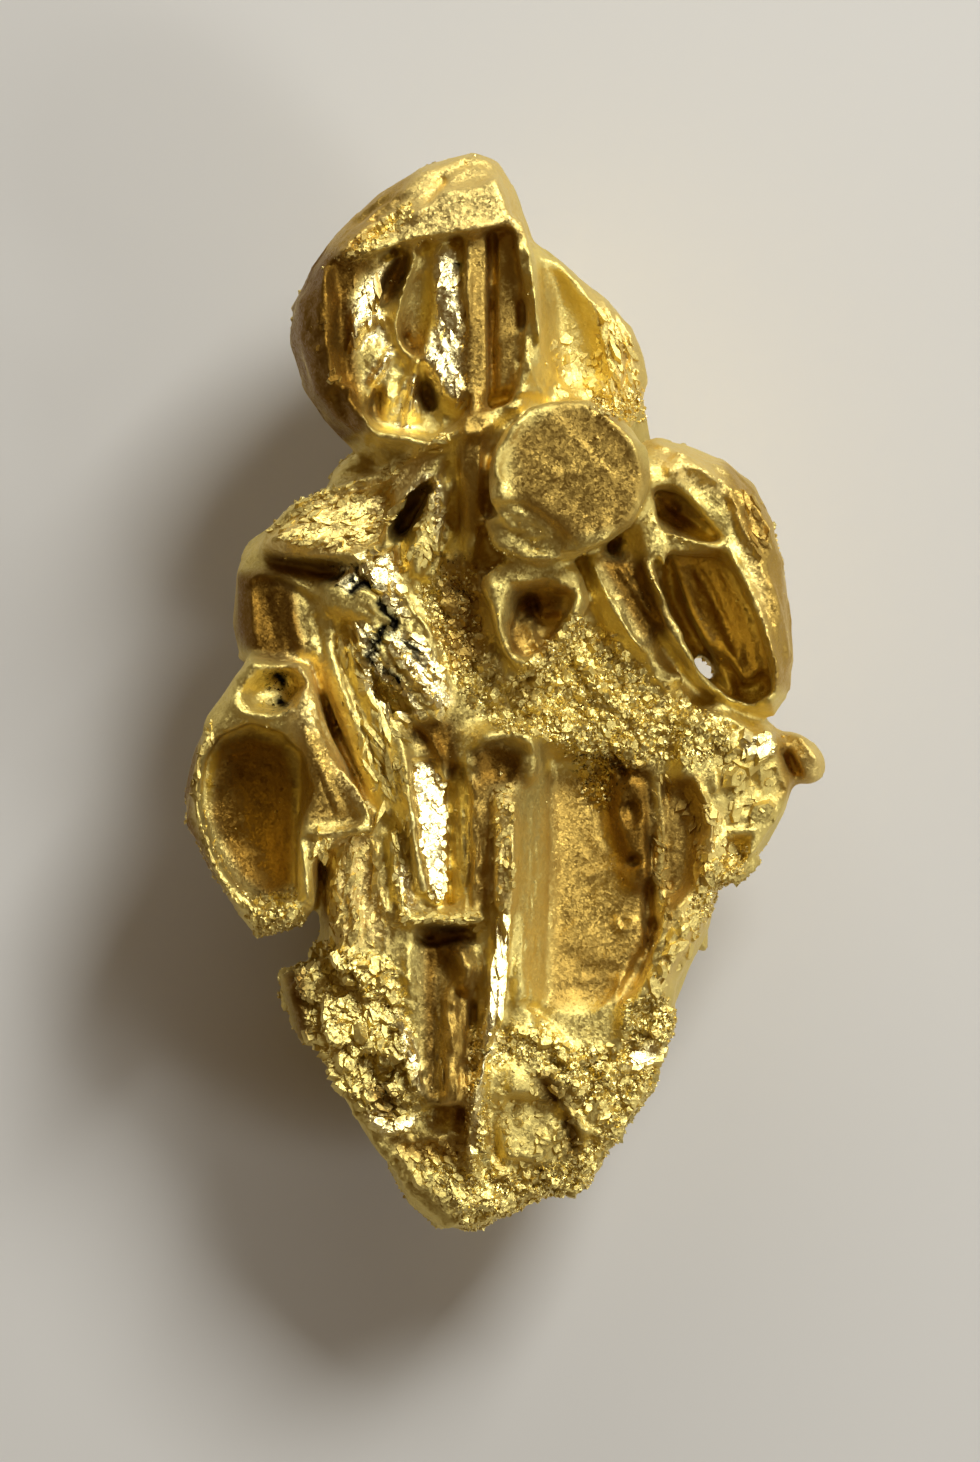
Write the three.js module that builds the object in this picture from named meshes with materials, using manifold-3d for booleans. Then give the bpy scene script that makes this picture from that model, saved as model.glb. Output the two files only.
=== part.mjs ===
// A cluster of native gold crystals, 15 mm long, grown together into one piece.
// The crystals are hoppered: their edges grew faster than their faces, so each one is a
// rounded rim around a hollow with fins in it. The piece lies on its back.
// Frame, in millimetres: +Z up, +Y towards the head crystal, origin under the middle of the
// bounding box, at the height of the flat contact face that the piece rests on.
import * as THREE from "three";
import { mergeVertices } from "three/addons/utils/BufferGeometryUtils.js";
import Module from "manifold-3d";

const wasm = await Module();
wasm.setup();

// Driving heights above the rest face.
const REST = 0; // the flat contact face on the back
const BASIN_FLOOR = 2.7; // floor of the large lower hopper
const CHEST_FACE = 3.9; // the grainy middle
const PLATE_FACE = 4.1; // the rough plate on the left shoulder
const EAR_RIM = 4.3; // rim of the left crystal
const RIGHT_RIM = 4.4; // rim of the right crystal
const KEEL_CREST = 4.4; // the fin that runs down to the tip
const HEAD_RIM = 4.8; // rim of the head crystal
const DISC_FACE = 5.5; // the round crystal that stands proudest
const ABOVE = 7; // clear of everything

const WAVER = 0.09; // how far crystal sides wander from a plain curve
const MERGE = 1e-5; // vertices closer than this are one
const GOLDEN = Math.PI * (3 - Math.sqrt(5)); // angle that spreads points evenly

// A solid from a three.js geometry.
function solid(geometry) {
  const loose = geometry.index ? geometry.toNonIndexed() : geometry;
  const bare = new THREE.BufferGeometry().setAttribute("position", loose.getAttribute("position"));
  const merged = mergeVertices(bare, MERGE);
  const mesh = new wasm.Mesh({
    numProp: 3,
    vertProperties: merged.attributes.position.array,
    triVerts: new Uint32Array(merged.index.array),
  });
  return new wasm.Manifold(mesh);
}

// The middle of a ring of points.
function middleOf(ring) {
  return ring.reduce((sum, p) => sum.add(p), new THREE.Vector3()).divideScalar(ring.length);
}

// A solid between rings of points, each ring anticlockwise from above and over the last.
function stack(rings) {
  const around = rings[0].length;
  const points = [...rings.flat(), middleOf(rings[0]), middleOf(rings.at(-1))];
  const bottom = points.length - 2;
  const last = (rings.length - 1) * around;
  const triangles = [];
  for (let i = 0; i < around; i++) {
    const next = (i + 1) % around;
    for (let low = 0; low < last; low += around) {
      triangles.push(low + i, low + next, low + around + next);
      triangles.push(low + i, low + around + next, low + around + i);
    }
    triangles.push(bottom, next, i, bottom + 1, last + i, last + next);
  }
  return solid(new THREE.BufferGeometry().setFromPoints(points).setIndex(triangles));
}

// A closed outline through [x, y] corners, anticlockwise.
function outline(corners) {
  const ring = corners.map(([x, y]) => new THREE.Vector3(x, y, 0));
  return THREE.ShapeUtils.area(ring) < 0 ? ring.reverse() : ring;
}

// A height given as a number, or as a function of x and y.
function heightAt(level, p) {
  return typeof level === "function" ? level(p.x, p.y) : level;
}

// A crystal over an outline, widest at girdle, a share of its height. Above the girdle its
// edge rounds in by round, a share of its width. Below it the crystal shrinks by taper
// towards its root, which lies nearer the axis of the cluster, and its sides wander.
function pebble(corners, { low, high, round = 0.25, taper = 0.5, girdle = 0.62 }) {
  const ring = outline(corners);
  const middle = middleOf(ring);
  const root = middle.clone().multiply(new THREE.Vector3(0.6, 0.85, 0));
  const profile = [
    // share of the height, how far in, towards what
    [0, taper, root],
    [girdle * 0.4, taper * 0.4, root],
    [girdle, 0, middle],
    [girdle + (1 - girdle) * 0.65, round * 0.35, middle],
    [1, round, middle],
  ];
  const rings = profile.map(([share, inwards, towards], level) =>
    ring.map((p, i) => {
      const wander = level === 2 ? 0 : WAVER * Math.sin(5.1 * i * i + 2.3 * level + p.x);
      const q = p.clone().lerp(towards, inwards);
      q.add(p.clone().sub(middle).setLength(wander));
      return q.setZ(THREE.MathUtils.lerp(heightAt(low, q), heightAt(high, q), share));
    }),
  );
  return stack(rings);
}

// A small raised form over an outline, with a rounded edge.
function boss(corners, { low, high, round = 0.2 }) {
  const ring = outline(corners);
  const middle = middleOf(ring);
  const levels = [[0, low], [0, high], [round, high]]; // how far in, height
  const rings = levels.map(([inwards, level], i) =>
    ring.map((p) => {
      const q = p.clone().lerp(middle, inwards);
      const edge = i === 1 ? round * q.distanceTo(middle) : 0;
      return q.setZ(heightAt(level, q) - edge);
    }),
  );
  return stack(rings);
}

// A hollow, open upwards. round is how far its wall curves in at the floor.
function hollow(corners, floor, round = 0.15) {
  const ring = outline(corners);
  const middle = middleOf(ring);
  const levels = [[2 * round, 0], [0, 0.4]]; // how far in, height over the floor
  const rings = levels.map(([inwards, rise]) =>
    ring.map((p) => {
      const q = p.clone().lerp(middle, inwards);
      return q.setZ(heightAt(floor, q) + rise);
    }),
  );
  return stack([...rings, ring.map((p) => p.clone().setZ(ABOVE))]);
}

// A fin or ridge along stations of [x, y, crest height, half width], standing on foot.
function fin(stations, foot) {
  const section = [[-1, 0], [-0.5, 0.95], [0.4, 1], [1, 0]]; // side, share of crest
  const rings = stations.map(([x, y, crest, half], i) => {
    const [fromX, fromY] = stations[Math.max(i - 1, 0)];
    const [toX, toY] = stations[Math.min(i + 1, stations.length - 1)];
    const along = new THREE.Vector2(toX - fromX, toY - fromY).normalize();
    const shoulder = crest - 1.6 * half;
    const points = section.map(
      ([side, share]) =>
        new THREE.Vector3(
          x - along.y * side * half,
          y + along.x * side * half,
          THREE.MathUtils.lerp(shoulder, crest, share),
        ),
    );
    points.push(points.at(-1).clone().setZ(foot), points[0].clone().setZ(foot));
    return points;
  });
  const made = stack(rings);
  return made.volume() < 0 ? stack(rings.reverse()) : made;
}

// Several fins on one foot.
function fins(foot, ...paths) {
  return paths.map((stations) => fin(stations, foot));
}

// A three.js geometry turned by x, y and z angles, moved to a point, as a solid.
function placed(geometry, at, turn = [0, 0, 0]) {
  geometry.rotateX(turn[0]).rotateY(turn[1]).rotateZ(turn[2]).translate(...at);
  return solid(geometry);
}

// A rounded lump of given radii.
function lump(at, radii, turn) {
  return placed(new THREE.IcosahedronGeometry(1, 1).scale(...radii), at, turn);
}

// A block-shaped crystal.
function block(at, size, turn) {
  return placed(new THREE.BoxGeometry(...size), at, turn);
}

// An octahedral crystal, gold's own form.
function octahedron(at, radii, turn) {
  return placed(new THREE.OctahedronGeometry(1).scale(...radii), at, turn);
}

// Small octahedra spread over an ellipse, standing half out of the face.
function druse([x, y], [reachX, reachY], face, size, count) {
  return Array.from({ length: count }, (_, i) => {
    const out = Math.sqrt((i + 0.5) / count);
    const atX = x + reachX * out * Math.cos(i * GOLDEN);
    const atY = y + reachY * out * Math.sin(i * GOLDEN);
    const radius = size * (1 + 0.35 * Math.sin(7 * i));
    const at = [atX, atY, face(atX, atY) - 0.45 * radius];
    return octahedron(at, [radius, radius * 1.2, radius], [i, 2 * i, 3 * i]);
  });
}

// Each function gives the solids that a crystal adds, the hollows cut into the whole, and
// what stands in the hollows.

// The head: a sloping cap over an open mouth full of leaves.
function headCrystal() {
  const body = pebble(
    [
      [-0.45, 7.48], [-0.1, 7.36], [0.12, 7.0], [0.33, 6.45], [0.48, 5.9], [0.6, 5.1],
      [0.7, 4.3], [0.5, 3.5], [-0.3, 3.1], [-1.2, 3.0], [-2.0, 3.25], [-2.45, 3.72],
      [-2.78, 4.2], [-2.98, 4.85], [-2.93, 5.35], [-2.7, 5.85], [-2.33, 6.35],
      [-1.75, 6.92], [-1.1, 7.3],
    ],
    { low: (x, y) => 0.6 + 0.2 * (y - 5), high: HEAD_RIM, round: 0.2, taper: 0.6, girdle: 0.68 },
  );
  const aboveCap = block([-0.9, 8.1, HEAD_RIM + 0.25], [6, 3, 2.4], [-0.75, 0, 0.1]);
  const mouth = hollow(
    [
      [-1.9, 5.98], [-1.3, 6.22], [-0.4, 6.34], [0.12, 6.42], [0.22, 5.9], [0.28, 5.2],
      [0.22, 4.5], [0.08, 4.0], [-0.5, 3.8], [-1.2, 3.6], [-1.8, 3.7], [-2.15, 4.3],
      [-2.2, 5.3],
    ],
    3.1,
  );
  const crack = hollow(
    [
      [-2.0, 6.35], [-1.85, 6.5], [-1.45, 6.85], [-1.3, 6.75], [-1.65, 6.45],
    ],
    3.6, 0,
  );
  const shellPits = [
    octahedron([-2.62, 5.1, 4.5], [0.16, 0.35, 0.6], [0, 0, 0.2]),
    octahedron([-2.5, 4.35, 4.5], [0.14, 0.3, 0.6], [0, 0, 0.5]),
  ];
  const ledges = [
    block([-3.1, 5.0, 2.4], [0.8, 2.4, 0.5], [0.25, 0.3, 0.05]),
    block([-2.3, 6.6, 2.2], [2.0, 0.8, 0.5], [0.1, 0.2, 0.75]),
    block([0.5, 6.7, 2.4], [0.6, 1.4, 0.6], [0.3, 0.1, 0.2]),
    block([-2.5, 3.6, 2.4], [1.2, 0.7, 0.4], [0.2, 0.3, -0.7]),
  ];
  const leaves = fins(
    2.9,
    [[-0.4, 6.5, 4.7, 0.15], [-0.44, 5.4, 4.8, 0.17], [-0.42, 4.4, 4.8, 0.17], [-0.5, 3.4, 4.6, 0.2]],
    [[0.0, 6.45, 4.0, 0.2], [0.03, 5.2, 4.1, 0.22], [-0.06, 3.9, 4.0, 0.2]],
    [
      [-0.85, 6.3, 4.3, 0.16], [-0.78, 5.4, 4.25, 0.18], [-0.85, 4.75, 4.4, 0.26],
      [-0.62, 3.9, 4.3, 0.12],
    ],
    [
      [-1.25, 6.3, 4.5, 0.08], [-1.48, 5.5, 4.4, 0.08], [-1.44, 4.9, 4.5, 0.1],
      [-1.15, 4.5, 4.5, 0.14], [-0.85, 3.9, 4.3, 0.12],
    ],
    [
      [-1.85, 6.1, 4.5, 0.16], [-2.02, 5.2, 4.5, 0.22], [-1.85, 4.6, 4.4, 0.14],
      [-1.95, 3.8, 4.2, 0.16],
    ],
    [[-1.5, 4.7, 4.3, 0.1], [-1.62, 4.25, 4.2, 0.12], [-1.66, 3.6, 4.1, 0.14]],
    [[-1.22, 4.45, 4.3, 0.1], [-1.25, 4.1, 4.2, 0.18], [-1.3, 3.5, 4.0, 0.2]],
  );
  return { add: [body], cut: [aboveCap, mouth, crack, ...shellPits, ...ledges], inside: leaves };
}

// The neck that joins the head to the shoulders, with a spine down its front.
function neck() {
  const spine = fins(
    2.5,
    [[-0.5, 3.6, 4.7, 0.2], [-0.42, 3.0, 4.6, 0.22], [-0.45, 2.4, 4.4, 0.16], [-0.5, 1.8, 4.1, 0.1]],
    [[-1.9, 3.55, 3.9, 0.2], [-1.6, 3.3, 4.2, 0.2], [-0.9, 3.45, 4.3, 0.2]],
  );
  const stem = lump([-0.2, 3.2, 2.8], [1.5, 1.1, 1.6]);
  return { add: [stem, ...spine], cut: [], inside: [] };
}

// The dished wing to the right of the head.
function wing() {
  const body = pebble(
    [
      [0.3, 6.3], [0.62, 6.08], [1.0, 5.78], [1.45, 5.42], [1.75, 5.05], [1.9, 4.65],
      [1.97, 4.3], [1.85, 4.05], [1.78, 3.75], [1.4, 3.2], [0.7, 3.0], [0.1, 3.6],
      [0.0, 4.6], [0.1, 5.5],
    ],
    { low: 1.9, high: (x) => 4.3 - 0.25 * x, round: 0.2, taper: 0.6, girdle: 0.7 },
  );
  const dish = hollow(
    [
      [0.45, 6.0], [0.8, 5.6], [1.15, 5.2], [1.35, 4.7], [1.4, 4.25], [1.1, 4.0], [0.8, 4.1],
      [0.6, 4.9],
    ],
    3.3,
    0.25,
  );
  const rims = fins(
    3,
    [[0.12, 6.5, 4.8, 0.1], [0.3, 5.9, 4.95, 0.11], [0.42, 5.1, 4.85, 0.1], [0.4, 4.3, 4.6, 0.12]],
    [[0.36, 4.8, 4.4, 0.06], [0.7, 4.1, 4.2, 0.08]],
  );
  const ledge = block([1.95, 4.9, 2.6], [0.7, 1.6, 0.5], [0.2, 0.3, 0.3]);
  return { add: [body], cut: [dish, ledge], inside: rims };
}

// The left shoulder: a rough plate over a ribbed arm, with an almond-shaped hollow.
function leftShoulder() {
  const body = pebble(
    [
      [-0.5, 3.5], [-1.2, 3.5], [-2.15, 3.4], [-2.4, 3.15], [-2.5, 2.85], [-3.0, 2.55],
      [-3.6, 2.15], [-3.74, 1.7], [-3.8, 1.0], [-3.7, 0.5], [-3.3, 0.1], [-2.4, -0.4],
      [-1.4, -0.2], [-0.7, 1.0], [-0.4, 2.3],
    ],
    { low: (x) => 0.5 - 0.25 * (x + 2), high: (x) => 3.9 + 0.16 * x, round: 0.25, taper: 0.6 },
  );
  const plate = boss(
    [
      [-0.62, 3.72], [-0.95, 3.38], [-1.6, 3.1], [-2.3, 2.88], [-2.9, 2.66], [-3.28, 2.3],
      [-3.42, 2.02], [-3.0, 1.9], [-2.5, 1.88], [-2.0, 1.75], [-1.55, 2.0], [-1.2, 2.6],
      [-0.9, 3.0],
    ],
    { low: 2.6, high: (x, y) => PLATE_FACE + 0.4 * (x + 2) - 0.15 * (y - 2.5), round: 0.12 },
  );
  const almond = hollow(
    [
      [-1.62, 2.05], [-1.2, 2.3], [-0.92, 2.85], [-0.98, 3.02], [-1.3, 2.8], [-1.6, 2.4],
    ],
    3.2,
  );
  const lens = fins(2.8, [[-1.2, 1.6, 3.9, 0.16], [-1.1, 2.2, 4.2, 0.24], [-0.88, 2.9, 4.4, 0.1]]);
  const ribs = fins(
    2,
    [[-3.5, 1.7, 3.2, 0.14], [-3.55, 1.1, 3.3, 0.16], [-3.4, 0.4, 3.3, 0.14]],
    [[-3.1, 1.7, 3.4, 0.16], [-3.1, 1.1, 3.5, 0.2], [-2.9, 0.3, 3.5, 0.2]],
    [[-2.55, 1.5, 3.6, 0.2], [-2.5, 0.9, 3.7, 0.22], [-2.3, 0.1, 3.8, 0.2]],
  );
  const ledges = [
    block([-3.3, 2.7, 2.2], [1.9, 0.7, 0.5], [0.2, 0.1, 0.6]),
    block([-3.95, 1.2, 2.1], [0.6, 1.5, 0.5], [0.2, 0.15, 0.05]),
  ];
  return { add: [body, plate], cut: [almond, ...ledges], inside: [...lens, ...ribs] };
}

// The round crystal that stands proudest, with a lip under it.
function roundDisc() {
  const slope = (x, y) => DISC_FACE - 0.05 * (x - 0.85) + 0.05 * (y - 3);
  const rim = [];
  const faceEdge = [];
  for (let angle = 0; angle < 2 * Math.PI; angle += Math.PI / 9) {
    rim.push([0.86 + 1.1 * Math.cos(angle), 2.99 + 1.03 * Math.sin(angle)]);
    faceEdge.push([0.83 + 0.93 * Math.cos(angle), 3.06 + 0.8 * Math.sin(angle)]);
  }
  const disc = pebble(rim, { low: 2.6, high: slope, round: 0.1, taper: 0.3, girdle: 0.82 });
  const face = hollow(faceEdge, (x, y) => slope(x, y) - 0.24, 0.06);
  const lip = boss(
    [[-0.3, 2.4], [0.2, 2.5], [0.9, 2.3], [1.3, 2.1], [0.9, 1.85], [0.3, 1.85], [-0.15, 2.0]],
    { low: 3, high: 5.0 },
  );
  return { add: [disc, lip], cut: [face], inside: [] };
}

// The right crystal: a short pit over a long ribbed one, with a window right through.
function rightCrystal() {
  const body = pebble(
    [
      [1.6, 3.4], [2.1, 3.58], [2.55, 3.46], [3.05, 3.25], [3.45, 2.92], [3.7, 2.4],
      [3.84, 1.8], [3.94, 1.1], [3.98, 0.5], [3.92, 0.02], [3.7, -0.3], [3.2, -0.25],
      [2.6, 0.1], [2.0, 0.8], [1.7, 1.8], [1.5, 2.6],
    ],
    {
      low: (x, y) => 0.9 + 0.2 * (x - 2.5) - 0.15 * y,
      high: (x) => RIGHT_RIM + 0.12 * (3 - x),
      round: 0.2, taper: 0.55, girdle: 0.66,
    },
  );
  const upperPit = hollow(
    [
      [2.0, 2.85], [2.4, 2.78], [2.75, 2.4], [3.02, 2.08], [2.6, 2.12], [2.1, 2.28],
    ],
    2.9,
  );
  const longPit = hollow(
    [
      [2.15, 1.98], [2.6, 1.92], [2.95, 1.9], [3.2, 1.6], [3.45, 1.05], [3.6, 0.5],
      [3.68, 0.05], [3.4, -0.12], [3.05, -0.02], [2.75, 0.25], [2.45, 0.7], [2.25, 1.3],
    ],
    (x) => 2.6 + 0.15 * (x - 3),
  );
  const window = hollow([[2.55, 0.55], [2.75, 0.58], [2.94, 0.35], [2.87, 0.18], [2.66, 0.32]], -1);
  const ridges = fins(
    2.5,
    [[2.0, 2.45, 3.9, 0.07], [2.4, 2.2, 3.95, 0.09], [3.05, 2.0, 4.0, 0.08]],
    [[2.35, 1.95, 3.5, 0.08], [2.62, 1.2, 3.3, 0.09], [2.95, 0.6, 3.1, 0.08], [3.15, 0.0, 3.1, 0.07]],
    [[2.75, 1.95, 3.4, 0.08], [3.1, 1.1, 3.2, 0.09], [3.4, 0.2, 3.1, 0.07]],
    [[2.3, 3.3, 4.5, 0.08], [2.75, 3.05, 4.55, 0.1], [3.2, 2.5, 4.5, 0.1], [3.4, 1.9, 4.4, 0.08]],
  );
  const ledges = [
    block([4.05, 1.2, 2.6], [0.6, 2.4, 0.5], [0.2, -0.2, 0.08]),
    block([3.3, 3.4, 2.6], [1.7, 0.6, 0.5], [0.1, 0.2, -0.65]),
    block([3.3, 1.4, 1.3], [0.7, 1.6, 0.5], [0.1, 0.3, 0.4]),
  ];
  return { add: [body], cut: [upperPit, longPit, window, ...ledges], inside: ridges };
}

// The left crystal: a thin rim round a basin, with an eye-like hollow above it.
function leftEar() {
  const rimSlope = (x) => EAR_RIM + 0.28 * (x + 3);
  const body = pebble(
    [
      [-3.5, 0.62], [-3.1, 0.56], [-2.72, 0.42], [-2.6, 0.1], [-2.45, -0.5], [-2.1, -1.1],
      [-1.8, -1.6], [-1.75, -1.9], [-2.3, -2.0], [-2.62, -2.3], [-2.62, -2.9], [-2.9, -3.2],
      [-3.42, -3.28], [-3.75, -2.92], [-4.12, -2.35], [-4.35, -1.8], [-4.43, -1.3],
      [-4.32, -0.8], [-4.1, -0.35], [-3.85, 0.08],
    ],
    { low: (x) => 1.0 - 0.3 * (x + 3), high: rimSlope, round: 0.08, taper: 0.6, girdle: 0.76 },
  );
  const basin = hollow(
    [
      [-3.95, -0.55], [-3.5, -0.36], [-3.05, -0.5], [-2.75, -0.85], [-2.6, -1.3],
      [-2.8, -1.75], [-2.85, -2.3], [-2.82, -2.85], [-3.35, -2.95], [-3.75, -2.55],
      [-4.08, -2.0], [-4.22, -1.4], [-4.15, -0.9],
    ],
    (x) => rimSlope(x) - 1.1,
    0.22,
  );
  const eye = hollow(
    [
      [-3.65, -0.02], [-3.3, 0.28], [-2.98, 0.3], [-2.85, 0.1], [-3.1, -0.18], [-3.4, -0.2],
    ],
    3.4,
  );
  const wall = fins(2, [[-2.75, -1.75, 4.0, 0.12], [-2.7, -2.4, 3.9, 0.12], [-2.72, -2.95, 3.7, 0.1]]);
  const crumb = lump([-3.1, -3.0, 3.0], [0.4, 0.25, 0.5]);
  const ledges = [
    block([-4.5, -1.5, 2.2], [0.6, 2.0, 0.4], [0.2, 0.2, 0.05]),
    block([-4.1, 0.1, 2.5], [0.6, 1.0, 0.4], [0, 0.2, -0.5]),
  ];
  return { add: [body, crumb], cut: [basin, eye, ...ledges], inside: wall };
}

// Long folds between the left crystal and the middle.
function foldsBesideEar() {
  const folds = fins(
    2,
    [[-2.6, 0.9, 3.6, 0.16], [-2.3, 0.1, 3.9, 0.17], [-1.95, -0.8, 4.1, 0.16], [-1.6, -1.6, 4.1, 0.14]],
    [
      [-2.2, 0.7, 3.8, 0.14], [-1.9, -0.1, 4.0, 0.15], [-1.6, -0.9, 4.2, 0.14],
      [-1.35, -1.8, 4.2, 0.12],
    ],
    [
      [-1.9, 0.3, 4.0, 0.12], [-1.5, -0.6, 4.3, 0.14], [-1.3, -1.3, 4.4, 0.14],
      [-1.08, -2.7, 4.3, 0.14],
    ],
  );
  return { add: folds, cut: [], inside: [] };
}

// The grainy middle, which holds the rest together, with a ring, a knob and creased foil.
function chest() {
  const face = (x, y) => CHEST_FACE - 0.07 * x + 0.12 * Math.sin(3 * x + 2 * y);
  const body = pebble(
    [
      [-0.2, 3.3], [0.9, 3.0], [1.9, 2.4], [2.5, 1.3], [2.9, 0.3], [3.2, -0.6], [3.0, -1.7],
      [2.2, -2.4], [0.5, -2.6], [-1.2, -2.5], [-2.1, -1.8], [-2.5, -0.6], [-2.4, 0.6],
      [-1.9, 1.7], [-1.1, 2.7],
    ],
    { low: -0.3, high: face, round: 0.3, taper: 0.4 },
  );
  const ring = boss(
    [
      [0.1, 1.95], [0.6, 1.98], [1.0, 1.75], [1.15, 1.3], [0.95, 0.85], [0.6, 0.45],
      [0.2, 0.3], [0.0, 0.6], [-0.2, 1.1], [-0.32, 1.6],
    ],
    { low: 2.8, high: 4.7, round: 0.25 },
  );
  const ringHollow = hollow(
    [
      [0.15, 1.3], [0.4, 1.45], [0.75, 1.4], [0.8, 1.05], [0.55, 0.7], [0.25, 0.5], [0.08, 0.75],
    ],
    3.6,
  );
  const knob = boss(
    [
      [-0.5, -0.75], [-0.2, -0.55], [0.2, -0.6], [0.42, -0.85], [0.35, -1.2], [-0.1, -1.3],
      [-0.5, -1.2],
    ],
    { low: 2.8, high: 4.7 },
  );
  const knobHollow = hollow(
    [
      [-0.42, -0.95], [0.0, -0.82], [0.25, -1.0], [0.2, -1.35], [-0.35, -1.35],
    ],
    3.9,
  );
  const gulleys = [
    hollow([[1.45, 1.95], [1.65, 1.9], [2.05, 1.1], [2.1, 0.85], [1.9, 0.95], [1.6, 1.5]], 3.0),
    hollow([[1.95, 1.95], [2.1, 1.9], [2.5, 1.0], [2.45, 0.8], [2.25, 1.1]], 3.0),
  ];
  const folds = fins(
    2,
    [[1.2, 2.1, 4.2, 0.14], [1.45, 1.4, 4.3, 0.15], [1.9, 0.6, 4.1, 0.14], [2.3, 0.1, 3.8, 0.12]],
    [[1.65, 2.1, 4.1, 0.12], [1.95, 1.4, 4.1, 0.13], [2.3, 0.8, 3.9, 0.12]],
  );
  const foil = boss(
    [[-2.3, 1.8], [-1.6, 1.95], [-1.1, 1.3], [-0.8, 0.2], [-0.9, -0.4], [-1.5, -0.3], [-2.0, 0.6]],
    { low: 2.8, high: (x, y) => 4.2 + 0.15 * (x + 1.5) - 0.1 * y, round: 0.16 },
  );
  const creases = [
    octahedron([-1.35, 0.75, 4.4], [0.12, 0.6, 0.5], [0, 0, 0.35]),
    octahedron([-1.75, 1.3, 4.3], [0.1, 0.5, 0.5], [0, 0, -0.7]),
    octahedron([-1.2, 0.05, 4.5], [0.1, 0.4, 0.5], [0, 0, 0.9]),
  ];
  const grains = druse([1.2, 0], [1.4, 0.85], face, 0.22, 12);
  return {
    add: [body, ring, knob, foil],
    cut: [ringHollow, knobHollow, ...gulleys, ...creases],
    inside: [...folds, ...grains],
  };
}

// The rough right flank and its nub.
function rightFlank() {
  const body = pebble(
    [
      [2.2, -0.2], [3.0, 0.0], [3.6, -0.3], [3.95, -0.6], [4.0, -1.2], [3.86, -1.6],
      [3.6, -2.1], [3.25, -2.52], [3.0, -2.66], [2.5, -2.5], [2.1, -1.5],
    ],
    { low: (x) => 1.1 + 0.4 * (x - 2), high: (x) => 4.1 - 0.3 * (x - 2), round: 0.2, taper: 0.55 },
  );
  const nub = lump([4.0423, -0.86, 2.9], [0.46, 0.32, 0.55], [0, 0, -0.7]);
  const nubHollow = hollow([[3.75, -0.65], [3.95, -0.75], [4.12, -1.1], [3.92, -1.12]], 3.0);
  const crystals = [
    block([3.48, -0.7, 3.75], [0.42, 0.26, 0.4], [0.1, 0.1, 0.12]),
    block([3.45, -1.15, 3.35], [0.5, 0.4, 0.5], [0.2, -0.2, 0.5]),
    block([3.35, -1.7, 3.3], [0.55, 0.45, 0.6], [-0.2, 0.25, 0.3]),
    block([3.15, -2.25, 3.0], [0.5, 0.5, 0.8], [0.2, 0.1, 0.7]),
    octahedron([2.85, -1.2, 3.7], [0.4, 0.5, 0.35], [0.2, 0.3, 0.2]),
    octahedron([3.0, -0.6, 3.75], [0.35, 0.3, 0.3], [0.5, 0.1, 0.6]),
  ];
  return { add: [body, nub], cut: [nubHollow], inside: crystals };
}

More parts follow.
